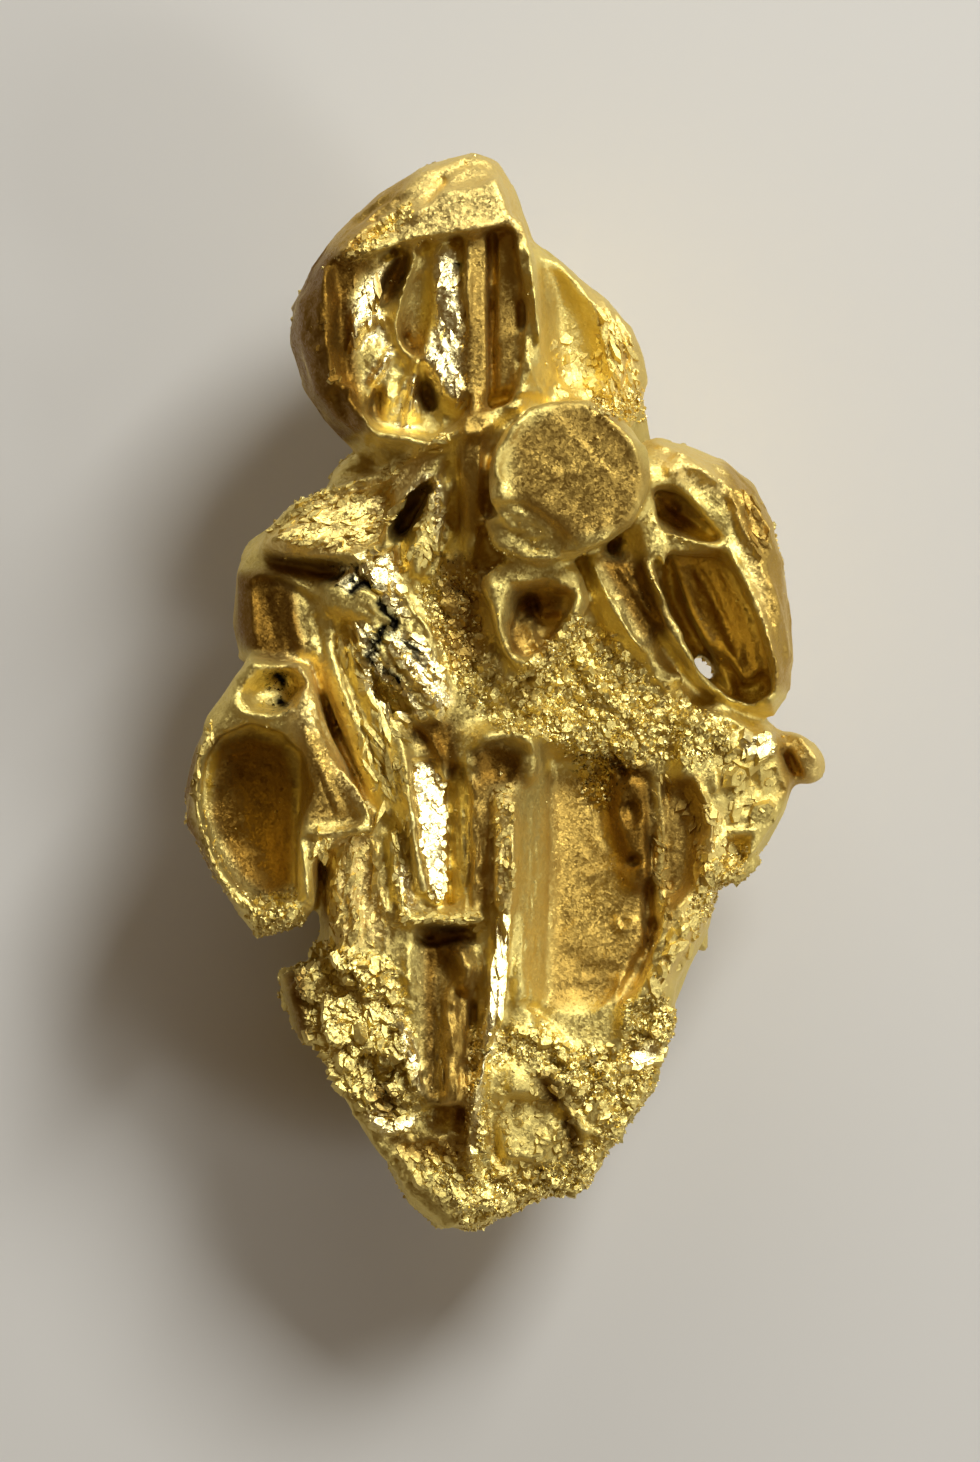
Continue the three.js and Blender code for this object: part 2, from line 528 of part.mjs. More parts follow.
// The lower half: a large smooth hopper, slots, the keel and the grainy toes.
function lowerBody() {
  const face = (x, y) => 3.9 + 0.06 * Math.min(0, y + 3) + 0.2 * Math.min(0, y + 5.5);
  const middle = pebble(
    [
      [-2.35, -1.4], [-2.55, -2.4], [-2.6, -3.4], [-2.5, -4.4], [-2.0, -5.2], [-1.0, -5.8],
      [0.2, -5.9], [1.2, -5.5], [2.1, -4.9], [2.36, -4.3], [2.55, -3.8], [2.82, -3.25],
      [2.94, -2.7], [2.9, -1.9], [2.5, -1.1], [0.0, -0.8], [-1.6, -0.9],
    ],
    { low: (x, y) => 0.6 - 0.1 * (y + 3), high: face, round: 0.16, taper: 0.5 },
  );
  const leftToe = pebble(
    [
      [-2.62, -4.0], [-2.52, -4.9], [-2.28, -5.5], [-1.95, -6.0], [-1.62, -6.5],
      [-1.35, -7.0], [-0.95, -7.35], [-0.45, -7.48], [-0.2, -6.6], [-0.2, -5.0], [-1.2, -3.8],
    ],
    { low: 1.2, high: (x, y) => face(x, y) - 0.1, round: 0.14, taper: 0.5, girdle: 0.55 },
  );
  const rightToe = pebble(
    [
      [-0.6, -7.4], [-0.45, -7.48], [0.0, -7.2], [0.5, -6.97], [1.05, -6.82], [1.45, -6.32],
      [1.78, -5.82], [2.06, -5.3], [2.18, -4.8], [1.8, -4.2], [0.6, -4.0], [-0.4, -5.0],
    ],
    { low: (x) => 0.9 + 0.2 * x, high: (x, y) => face(x, y) - 0.3, round: 0.16, taper: 0.5 },
  );
  const basin = hollow(
    [
      [0.55, -1.0], [1.1, -0.95], [1.6, -1.1], [2.1, -1.05], [2.45, -1.35], [2.55, -1.9],
      [2.3, -2.6], [2.05, -3.4], [1.75, -4.1], [1.2, -4.5], [0.6, -4.5], [0.15, -4.2],
      [0.15, -3.0], [0.3, -2.0],
    ],
    (x, y) => BASIN_FLOOR - 0.1 * x - 0.15 * Math.min(0, y + 3),
    0.2,
  );
  const slots = [
    hollow(
      [
        [-0.86, -1.2], [-0.66, -1.15], [-0.6, -2.0], [-0.66, -2.9], [-0.9, -2.9], [-0.86, -2.0],
      ],
      2.9,
    ),
    hollow([[-0.52, -1.35], [-0.25, -1.35], [-0.2, -2.1], [-0.2, -2.85], [-0.5, -2.9]], 3.1),
    hollow(
      [
        [-1.15, -3.25], [-0.45, -3.2], [-0.35, -3.9], [-0.45, -5.0], [-0.5, -5.95], [-1.0, -6.0],
        [-1.15, -5.0], [-1.1, -4.0],
      ],
      2.4,
    ),
  ];
  const ridges = fins(
    2,
    [[2.05, -1.05, 3.7, 0.08], [2.15, -2.0, 3.5, 0.08], [2.1, -3.1, 3.4, 0.07]],
    [[-0.85, -4.1, 3.2, 0.07], [-0.8, -5.0, 3.0, 0.08], [-0.78, -5.9, 3.0, 0.07]],
    [[-0.62, -3.4, 3.7, 0.16], [-0.5, -3.75, 3.8, 0.16], [-0.6, -4.2, 3.4, 0.14]],
    [[-0.02, -1.25, 4.3, 0.15], [0.05, -2.0, 4.5, 0.2], [0.0, -2.9, 4.4, 0.15]],
    [
      [0.02, -2.9, KEEL_CREST, 0.07], [-0.06, -3.8, KEEL_CREST, 0.08], [-0.25, -4.6, 4.3, 0.08],
      [-0.42, -5.5, 4.1, 0.1], [-0.45, -6.4, 3.6, 0.14], [-0.3, -7.0, 3.2, 0.15],
    ],
    [
      [2.55, -1.2, 3.8, 0.14], [2.8, -1.9, 3.9, 0.16], [2.6, -2.8, 3.8, 0.2], [2.3, -3.6, 3.7, 0.2],
      [1.95, -4.3, 3.6, 0.18],
    ],
    [[-2.2, -1.9, 4.0, 0.24], [-2.2, -2.7, 4.0, 0.28], [-2.1, -3.6, 3.9, 0.24]],
    [[-1.5, -1.9, 4.1, 0.12], [-1.55, -2.6, 4.0, 0.14], [-1.3, -3.1, 4.2, 0.14]],
    [[-1.45, -4.3, 3.8, 0.16], [-1.3, -5.0, 3.8, 0.16], [-1.25, -5.8, 3.6, 0.14]],
    [[-1.45, -3.05, 4.2, 0.12], [-0.9, -3.08, 4.1, 0.12], [-0.3, -3.0, 4.2, 0.12]],
  );
  const nodules = [
    pebble(
      [
        [-3.12, -3.88], [-2.85, -3.72], [-2.5, -3.7], [-2.2, -4.2], [-2.4, -4.9], [-2.78, -4.82],
        [-2.95, -4.5], [-3.1, -4.2],
      ],
      { low: 1.5, high: (x) => 3.7 + 0.5 * (x + 2.2) },
    ),
    pebble(
      [
        [1.7, -4.2], [2.1, -4.08], [2.35, -4.2], [2.38, -4.45], [2.25, -4.75], [1.95, -4.85],
        [1.65, -4.7],
      ],
      { low: 1.9, high: 3.6 },
    ),
  ];
  const ledges = [
    block([2.95, -3.2, 2.2], [0.7, 2.2, 0.5], [0.15, 0.1, -0.3]),
    block([-2.8, -2.9, 2.1], [0.7, 2.2, 0.5], [0.2, -0.1, 0]),
    block([-2.3, -6.1, 2.3], [0.7, 1.6, 0.4], [0.2, 0.2, 0.6]),
    block([1.9, -6.2, 2.2], [0.7, 1.5, 0.4], [0.1, 0, -0.6]),
    block([0.2, -7.2, 1.8], [1.6, 0.7, 0.4], [0.3, 0.1, 0.3]),
  ];
  const grains = [
    ...druse([0.85, -5.4], [0.85, 0.95], (x, y) => face(x, y) - 0.3, 0.32, 10),
    ...druse([-1.7, -4.9], [0.6, 1.0], (x, y) => face(x, y) - 0.1, 0.28, 8),
    ...druse([-0.85, -6.7], [0.45, 0.4], (x, y) => face(x, y) - 0.2, 0.3, 4),
  ];
  return {
    add: [middle, leftToe, rightToe, ...nodules],
    cut: [basin, ...slots, ...ledges],
    inside: [...ridges, ...grains],
  };
}

// The back, where the crystals root, cut off flat where the cluster grew against rock.
function back() {
  const roots = [
    octahedron([-0.9, 4.9, 1.3], [1.3, 1.6, 1.2], [0.1, 0.2, 0.4]),
    octahedron([1.1, 3.9, 1.9], [1.2, 1.3, 1.3], [0.2, -0.2, 0.9]),
    octahedron([-0.2, -4.3, 1.2], [1.5, 2.0, 1.3], [0.1, 0.1, 0.2]),
    octahedron([2.0, -2.4, 1.4], [1.1, 1.5, 1.3], [0, 0.2, 0.6]),
    octahedron([-2.4, -1.4, 1.7], [1.2, 1.5, 1.4], [0.2, 0.1, 0.9]),
  ];
  const pits = [
    lump([-1.9, 0.6, 0.2], [0.5, 1.1, 0.5], [0, 0, 0.4]),
    lump([0.4, 3.1, 0.6], [0.9, 0.5, 0.6], [0, 0, 0.3]),
    lump([1.3, -0.9, -0.2], [0.9, 0.5, 0.5], [0, 0, 0.5]),
  ];
  const belowRest = block([0, 0, REST - 2], [30, 30, 4]);
  return { add: roots, cut: [belowRest, ...pits], inside: [] };
}

const crystals = [
  headCrystal(), neck(), wing(), leftShoulder(), roundDisc(), rightCrystal(), leftEar(),
  foldsBesideEar(), chest(), rightFlank(), lowerBody(), back(),
];
const grown = wasm.Manifold.union(crystals.flatMap((c) => c.add));
const hollowed = grown.subtract(wasm.Manifold.union(crystals.flatMap((c) => c.cut)));
const whole = hollowed.add(wasm.Manifold.union(crystals.flatMap((c) => c.inside)));

// A three.js geometry from a solid.
function geometryOf(made) {
  const { numProp, vertProperties, triVerts } = made.getMesh();
  const positions = new Float32Array((vertProperties.length / numProp) * 3);
  for (let i = 0; i < positions.length / 3; i++)
    positions.set(vertProperties.subarray(i * numProp, i * numProp + 3), i * 3);
  const geometry = new THREE.BufferGeometry()
    .setAttribute("position", new THREE.BufferAttribute(positions, 3))
    .setIndex(new THREE.BufferAttribute(triVerts, 1));
  geometry.computeVertexNormals();
  return geometry;
}

const gold = new THREE.MeshStandardMaterial({ color: 0xd9a441, roughness: 0.35, metalness: 1 });
const crystal = new THREE.Mesh(geometryOf(whole), gold);
crystal.name = "gold_crystal";
const piece = new THREE.Group();
piece.add(crystal);

export default piece;
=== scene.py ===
# A cluster of hoppered native gold crystals, 15 mm long, lying on its back on a pale floor.
import math
import bpy
import numpy as np
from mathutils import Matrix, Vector


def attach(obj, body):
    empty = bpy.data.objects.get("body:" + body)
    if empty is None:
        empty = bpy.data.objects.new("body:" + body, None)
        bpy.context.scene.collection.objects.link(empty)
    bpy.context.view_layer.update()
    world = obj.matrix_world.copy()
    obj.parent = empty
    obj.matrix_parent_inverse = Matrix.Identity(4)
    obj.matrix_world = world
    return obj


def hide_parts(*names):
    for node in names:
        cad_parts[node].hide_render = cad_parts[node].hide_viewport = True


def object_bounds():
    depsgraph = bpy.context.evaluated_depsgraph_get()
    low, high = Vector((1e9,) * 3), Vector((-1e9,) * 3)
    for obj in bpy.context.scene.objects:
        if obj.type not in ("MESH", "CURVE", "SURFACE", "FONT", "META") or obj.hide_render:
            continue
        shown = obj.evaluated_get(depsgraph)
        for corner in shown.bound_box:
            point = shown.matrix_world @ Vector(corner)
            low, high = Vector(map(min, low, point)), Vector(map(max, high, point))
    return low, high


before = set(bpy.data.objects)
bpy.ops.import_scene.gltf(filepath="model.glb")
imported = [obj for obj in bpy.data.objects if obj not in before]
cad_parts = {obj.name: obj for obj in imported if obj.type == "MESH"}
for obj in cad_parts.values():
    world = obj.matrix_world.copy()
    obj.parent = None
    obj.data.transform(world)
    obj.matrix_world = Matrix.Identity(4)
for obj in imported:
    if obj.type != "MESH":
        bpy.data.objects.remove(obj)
cadLow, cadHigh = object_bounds()
scene = bpy.context.scene
scene.view_settings.view_transform = "Standard"

millimetre = 0.001
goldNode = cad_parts["gold_crystal"]


def linearColour(hexText):
    channels = [int(hexText[i:i + 2], 16) / 255 for i in (1, 3, 5)]
    return [c / 12.92 if c <= 0.04045 else ((c + 0.055) / 1.055) ** 2.4 for c in channels] + [1.0]


def selectOnly(obj):
    bpy.ops.object.select_all(action="DESELECT")
    obj.select_set(True)
    bpy.context.view_layer.objects.active = obj


def applyModifiers(obj):
    selectOnly(obj)
    for modifier in list(obj.modifiers):
        bpy.ops.object.modifier_apply(modifier=modifier.name)


# the body: a copy of the solid, worked in millimetres
body = {
    "voxel": 0.045,  # mm between the points of the sculpted skin
    "softening": (1, 2, 1),  # rounds of smoothing: on the solid, once settled, once stroked
    "joinWithin": 0.0005,  # mm
    "knobWidth": 0.16,  # mm, the unevenness along a stroke
    "settleBelow": 1.6,  # mm, what lies deeper than this under a patch stays
    "mostTriangles": 190000,
    "seed": 5,
}


def startBody():
    obj = goldNode.copy()
    obj.data = goldNode.data.copy()
    obj.parent = None
    for key in list(obj.keys()):
        if key.startswith("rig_"):
            del obj[key]
    obj.name = obj.data.name = "goldCrystalBody"
    scene.collection.objects.link(obj)
    obj.scale = [1 / millimetre] * 3
    selectOnly(obj)
    bpy.ops.object.transform_apply(location=False, rotation=False, scale=True)
    bpy.ops.object.mode_set(mode="EDIT")
    bpy.ops.mesh.select_all(action="SELECT")
    bpy.ops.mesh.remove_doubles(threshold=body["joinWithin"])
    bpy.ops.object.mode_set(mode="OBJECT")
    return obj


def reskin(obj, voxel, rounds):
    remesh = obj.modifiers.new("skin", "REMESH")
    remesh.mode = "VOXEL"
    remesh.voxel_size = voxel
    smooth = obj.modifiers.new("soften", "SMOOTH")
    smooth.factor = 0.5
    smooth.iterations = rounds
    applyModifiers(obj)


# sculpting: strokes and patches are drawn in millimetres on the front, and move the skin
def smoothStep(low, high, value):
    t = np.clip((value - low) / (high - low), 0, 1)
    return t * t * (3 - 2 * t)


# distance to a path, and how far along it, from 0 to 1
def fromPath(x, y, path):
    best = np.full(len(x), 1e9)
    along = np.zeros(len(x))
    lengths = [math.dist(a[:2], b[:2]) for a, b in zip(path, path[1:])]
    total, done = sum(lengths), 0.0
    for (a, b), length in zip(zip(path, path[1:]), lengths):
        dx, dy = b[0] - a[0], b[1] - a[1]
        t = np.clip(((x - a[0]) * dx + (y - a[1]) * dy) / max(length * length, 1e-12), 0, 1)
        distance = np.hypot(x - a[0] - t * dx, y - a[1] - t * dy)
        nearer = distance < best
        best[nearer] = distance[nearer]
        along[nearer] = (done + t[nearer] * length) / total
        done += length
    return best, along


# 1 well inside a closed outline, 0 outside it, soft over edge
def insideShape(x, y, corners, edge):
    loop = corners + corners[:1]
    distance, _ = fromPath(x, y, loop)
    inside = np.zeros(len(x), bool)
    for (ax, ay), (bx, by) in zip(loop, loop[1:]):
        crosses = (ay > y) != (by > y)
        with np.errstate(divide="ignore", invalid="ignore"):
            inside ^= crosses & (x < (bx - ax) * (y - ay) / (by - ay) + ax)
    signed = np.where(inside, -distance, distance)
    return 1 - smoothStep(-edge, edge, signed)


def lattice(i, j, seed):
    value = np.sin(i * 127.1 + j * 311.7 + seed * 74.7) * 43758.5453
    return value - np.floor(value)


# heights from 0 to 1 of a crumpled sheet of flat triangles about cell wide
def facets(x, y, cell, seed):
    wx = x / cell + 0.35 * np.sin(y / cell * 1.7 + seed) + 0.2 * np.sin(x / cell * 2.9 + y / cell)
    wy = y / cell + 0.35 * np.sin(x / cell * 1.9 + 2 * seed) + 0.2 * np.sin(y / cell * 2.3 - x / cell)
    u, v = wx - wy / math.sqrt(3), 2 * wy / math.sqrt(3)
    iu, iv = np.floor(u), np.floor(v)
    fu, fv = u - iu, v - iv
    h00, h10 = lattice(iu, iv, seed), lattice(iu + 1, iv, seed)
    h01, h11 = lattice(iu, iv + 1, seed), lattice(iu + 1, iv + 1, seed)
    lower = h00 * (1 - fu - fv) + h10 * fu + h01 * fv
    upper = h11 * (fu + fv - 1) + h10 * (1 - fv) + h01 * (1 - fu)
    return np.where(fu + fv < 1, lower, upper)


# flat crystal faces about cell wide: each has its own tilt and step, and they may all lean one way
def crystalFaces(points, cell, slope, step, seed, lean):
    base = np.floor(points / cell)
    nearest = np.full(len(points), 1e9)
    lift = np.zeros(len(points))
    for corner in np.ndindex(3, 3, 3):
        box = base + np.array(corner) - 1
        i, j, k = box.T
        shake = np.stack([lattice(i + 3.1 * k, j + 7.7 * k, seed + n) for n in range(3)], 1)
        offset = points - (box + shake) * cell
        distance = (offset * offset).sum(1)
        tilt = np.stack([lattice(i - 5.3 * k, j + 2.9 * k, seed + n) for n in range(4, 8)], 1) - 0.5
        nearer = distance < nearest
        nearest[nearer] = distance[nearer]
        faces = 2 * slope * (tilt[:, :3] * offset).sum(1) + step * tilt[:, 3]
        faces += lean[0] * offset[:, 0] + lean[1] * offset[:, 1]
        lift[nearer] = faces[nearer]
    return lift


class Skin:
    def __init__(self, obj):
        self.obj = obj
        self.read()

    def read(self):
        mesh = self.obj.data
        count = len(mesh.vertices)
        points = np.empty(count * 3)
        normals = np.empty(count * 3, np.float32)
        mesh.vertices.foreach_get("co", points)
        mesh.vertex_normals.foreach_get("vector", normals)
        self.points = points.reshape(-1, 3)
        self.normals = normals.reshape(-1, 3).astype(float)
        self.up = smoothStep(-0.15, 0.25, self.normals[:, 2])

    def write(self):
        self.obj.data.vertices.foreach_set("co", self.points.reshape(-1))
        self.obj.data.update()

    def near(self, path, reach):
        low = np.min([p[:2] for p in path], 0) - reach
        high = np.max([p[:2] for p in path], 0) + reach
        xy = self.points[:, :2]
        return np.nonzero(((xy > low) & (xy < high)).all(1) & (self.up > 0))[0]

    # raises, or with a height below 0 sinks, the skin along a path
    def stroke(self, path, width, height, shape="ridge"):
        some = self.near(path, width)
        distance, along = fromPath(self.points[some, 0], self.points[some, 1], path)
        ends = smoothStep(0, 0.15, along) * smoothStep(0, 0.15, 1 - along)
        u = np.clip(distance / (width * (0.45 + 0.55 * ends)), 0, 1)
        profile = {"round": (1 - u * u) ** 2, "ridge": (1 - u) ** 1.25,
                   "flat": 1 - smoothStep(0.55, 1, u)}
        x, y = self.points[some, 0], self.points[some, 1]
        knobbly = 0.55 + 0.9 * facets(x, y, body["knobWidth"], 2)
        self.points[some, 2] += height * knobbly * profile[shape] * self.up[some] * (0.35 + 0.65 * ends)

    # draws the skin towards a plane, or a dish that is deeper by bowl in its middle
    def settle(self, corners, edge, height, slope=(0, 0), bowl=0.0, share=1.0):
        some = self.near(corners, edge)
        some = some[self.points[some, 2] > height - body["settleBelow"]]
        x, y = self.points[some, 0], self.points[some, 1]
        amount = insideShape(x, y, corners, edge) * smoothStep(-0.5, -0.2, self.normals[some, 2])
        middle = np.mean(corners, 0)
        target = height + slope[0] * (x - middle[0]) + slope[1] * (y - middle[1])
        if bowl:
            depth, _ = fromPath(x, y, corners + corners[:1])
            depth = np.clip(depth / (0.8 * depth.max()), 0, 1) * (amount > 0.3)
            target = target - bowl * (1 - (1 - depth) ** 2)
        self.points[some, 2] += share * amount * (target - self.points[some, 2])

    # a flat face at the skin's own mean height
    def face(self, corners, edge, lift, slope):
        some = self.near(corners, 0)
        inside = insideShape(self.points[some, 0], self.points[some, 1], corners, 0.02) > 0.5
        self.settle(corners, edge, self.points[some[inside], 2].mean() + lift, slope)

    # creased foil in a closed outline, longer by stretch along the direction turn
    def crumple(self, corners, edge, cell, height, seed, turn, stretch):
        some = self.near(corners, edge)
        x, y = self.points[some, 0], self.points[some, 1]
        a, b = math.cos(turn), math.sin(turn)
        along, across = (x * a + y * b) / stretch, y * a - x * b
        lift = facets(along, across, cell, seed) - 0.5
        amount = insideShape(x, y, corners, edge)
        self.points[some] += (self.normals[some] * (height * lift * amount)[:, None])

    # short ridges and furrows scattered in a closed outline, running about one way
    def score(self, corners, turn, spread, count, length, width, height, chance):
        low, high = np.min(corners, 0), np.max(corners, 0)
        made = 0
        while made < count:
            x, y = chance.uniform(low, high)
            if insideShape(np.array([x]), np.array([y]), corners, 0.01)[0] < 0.5:
                continue
            made += 1
            angle = turn + chance.normal() * spread
            half = 0.5 * length * chance.uniform(0.5, 1.3)
            bend = chance.normal() * 0.15 * half
            dx, dy = half * math.cos(angle), half * math.sin(angle)
            path = [(x - dx, y - dy), (x - dy * bend, y + dx * bend), (x + dx, y + dy)]
            lift = height * chance.uniform(0.5, 1.2) * (1 if chance.random() < 0.6 else -1)
            self.stroke(path, width * chance.uniform(0.8, 1.6), lift)

    # breaks the skin into flat crystal faces about cell wide
    def flakes(self, amount, cell, slope, step, seed, lean=(0, 0)):
        some = np.nonzero(amount > 0.02)[0]
        lift = crystalFaces(self.points[some], cell, slope, step, seed, lean)
        self.points[some] += self.normals[some] * (lift * amount[some])[:, None]


print("start:", len(goldNode.data.polygons), "faces in the solid")
crystal = startBody()
onSolid, onceSettled, onceStroked = body["softening"]
reskin(crystal, body["voxel"], onSolid)
skin = Skin(crystal)

# outlines that more than one step works on, in millimetres
places = {
    "leftToes": [(-2.9, -3.6), (-2.5, -3.4), (-2.0, -3.5), (-1.5, -3.7), (-1.3, -4.6), (-1.2, -5.8),
                 (-1.8, -5.8), (-2.3, -5.4), (-2.7, -4.7)],
    "leftCrystalTip": [(-3.45, -2.75), (-2.85, -2.7), (-2.8, -3.2), (-3.45, -3.3)],
    "leftStep": [(-2.7, -1.9), (-1.8, -1.9), (-1.6, -3.4), (-2.4, -3.4)],
    "rightSlope": [(2.4, -1.3), (2.95, -1.6), (3.3, -2.4), (2.1, -4.2), (1.9, -4.0), (2.6, -2.6)],
    "mouthLeaf": [(-0.98, 6.1), (-0.7, 6.1), (-0.48, 4.9), (-0.5, 3.95), (-0.9, 4.1), (-1.15, 4.55),
                  (-0.98, 5.1)],
    "upperFoil": [(-2.05, 1.95), (-1.5, 2.0), (-1.4, 1.4), (-1.3, 1.05), (-1.5, 1.1), (-1.7, 1.3)],
    "leftFoil": [(-2.15, 1.0), (-1.85, 1.02), (-1.7, 0.5), (-1.4, 0.2), (-1.1, -0.25), (-1.5, -0.35),
                 (-1.9, 0.0), (-1.95, 0.5)],
    "rightFoil": [(-1.6, 0.92), (-1.1, 0.8), (-0.8, 0.2), (-0.7, -0.1), (-0.9, -0.25), (-1.2, 0.1),
                  (-1.65, 0.7)],
    "slotGlint": [(-1.5, -2.3), (-1.35, -2.35), (-1.2, -2.9), (-1.35, -2.95)],
    "flankGlint": [(3.15, -0.5), (3.7, -0.52), (3.72, -0.8), (3.3, -0.82)],
    "leafHollow": [(-1.8, 5.28), (-1.68, 5.7), (-1.48, 6.03), (-1.3, 6.1), (-1.35, 5.75), (-1.48, 5.45)],
    "starHollow": [(-1.12, 4.42), (-1.2, 4.15), (-1.1, 3.9), (-0.9, 3.9), (-0.98, 4.2)],
    "lowHollow": [(-1.92, 3.85), (-1.82, 4.15), (-1.64, 4.28), (-1.7, 4.0), (-1.68, 3.75)],
    "capSlope": [(-2.3, 5.95), (-1.3, 6.75), (-1.3, 6.5), (-2.0, 5.95)],
    "shoulderArm": [(-3.6, 1.6), (-2.4, 1.4), (-2.4, 0.5), (-3.5, 0.6)],
    "slotFoil": [(-1.3, -0.88), (-1.0, -0.86), (-0.84, -1.2), (-0.8, -2.4), (-0.84, -2.85),
                 (-1.02, -2.75), (-1.15, -2.2), (-1.24, -1.5)],
    "foilSheet": [(-2.4, 1.9), (-1.5, 2.0), (-1.0, 1.6), (-0.75, 0.6), (-0.8, -0.1), (-1.4, -0.4),
                  (-2.0, 0.6), (-2.2, 1.2)],
    "longFolds": [(-2.6, 0.9), (-1.9, 1.0), (-1.2, -1.6), (-1.6, -1.8)],
    "flankFace": [(2.9, -0.5), (3.7, -0.4), (3.95, -1.2), (3.4, -2.4), (2.9, -2.6), (2.8, -1.4)],
}

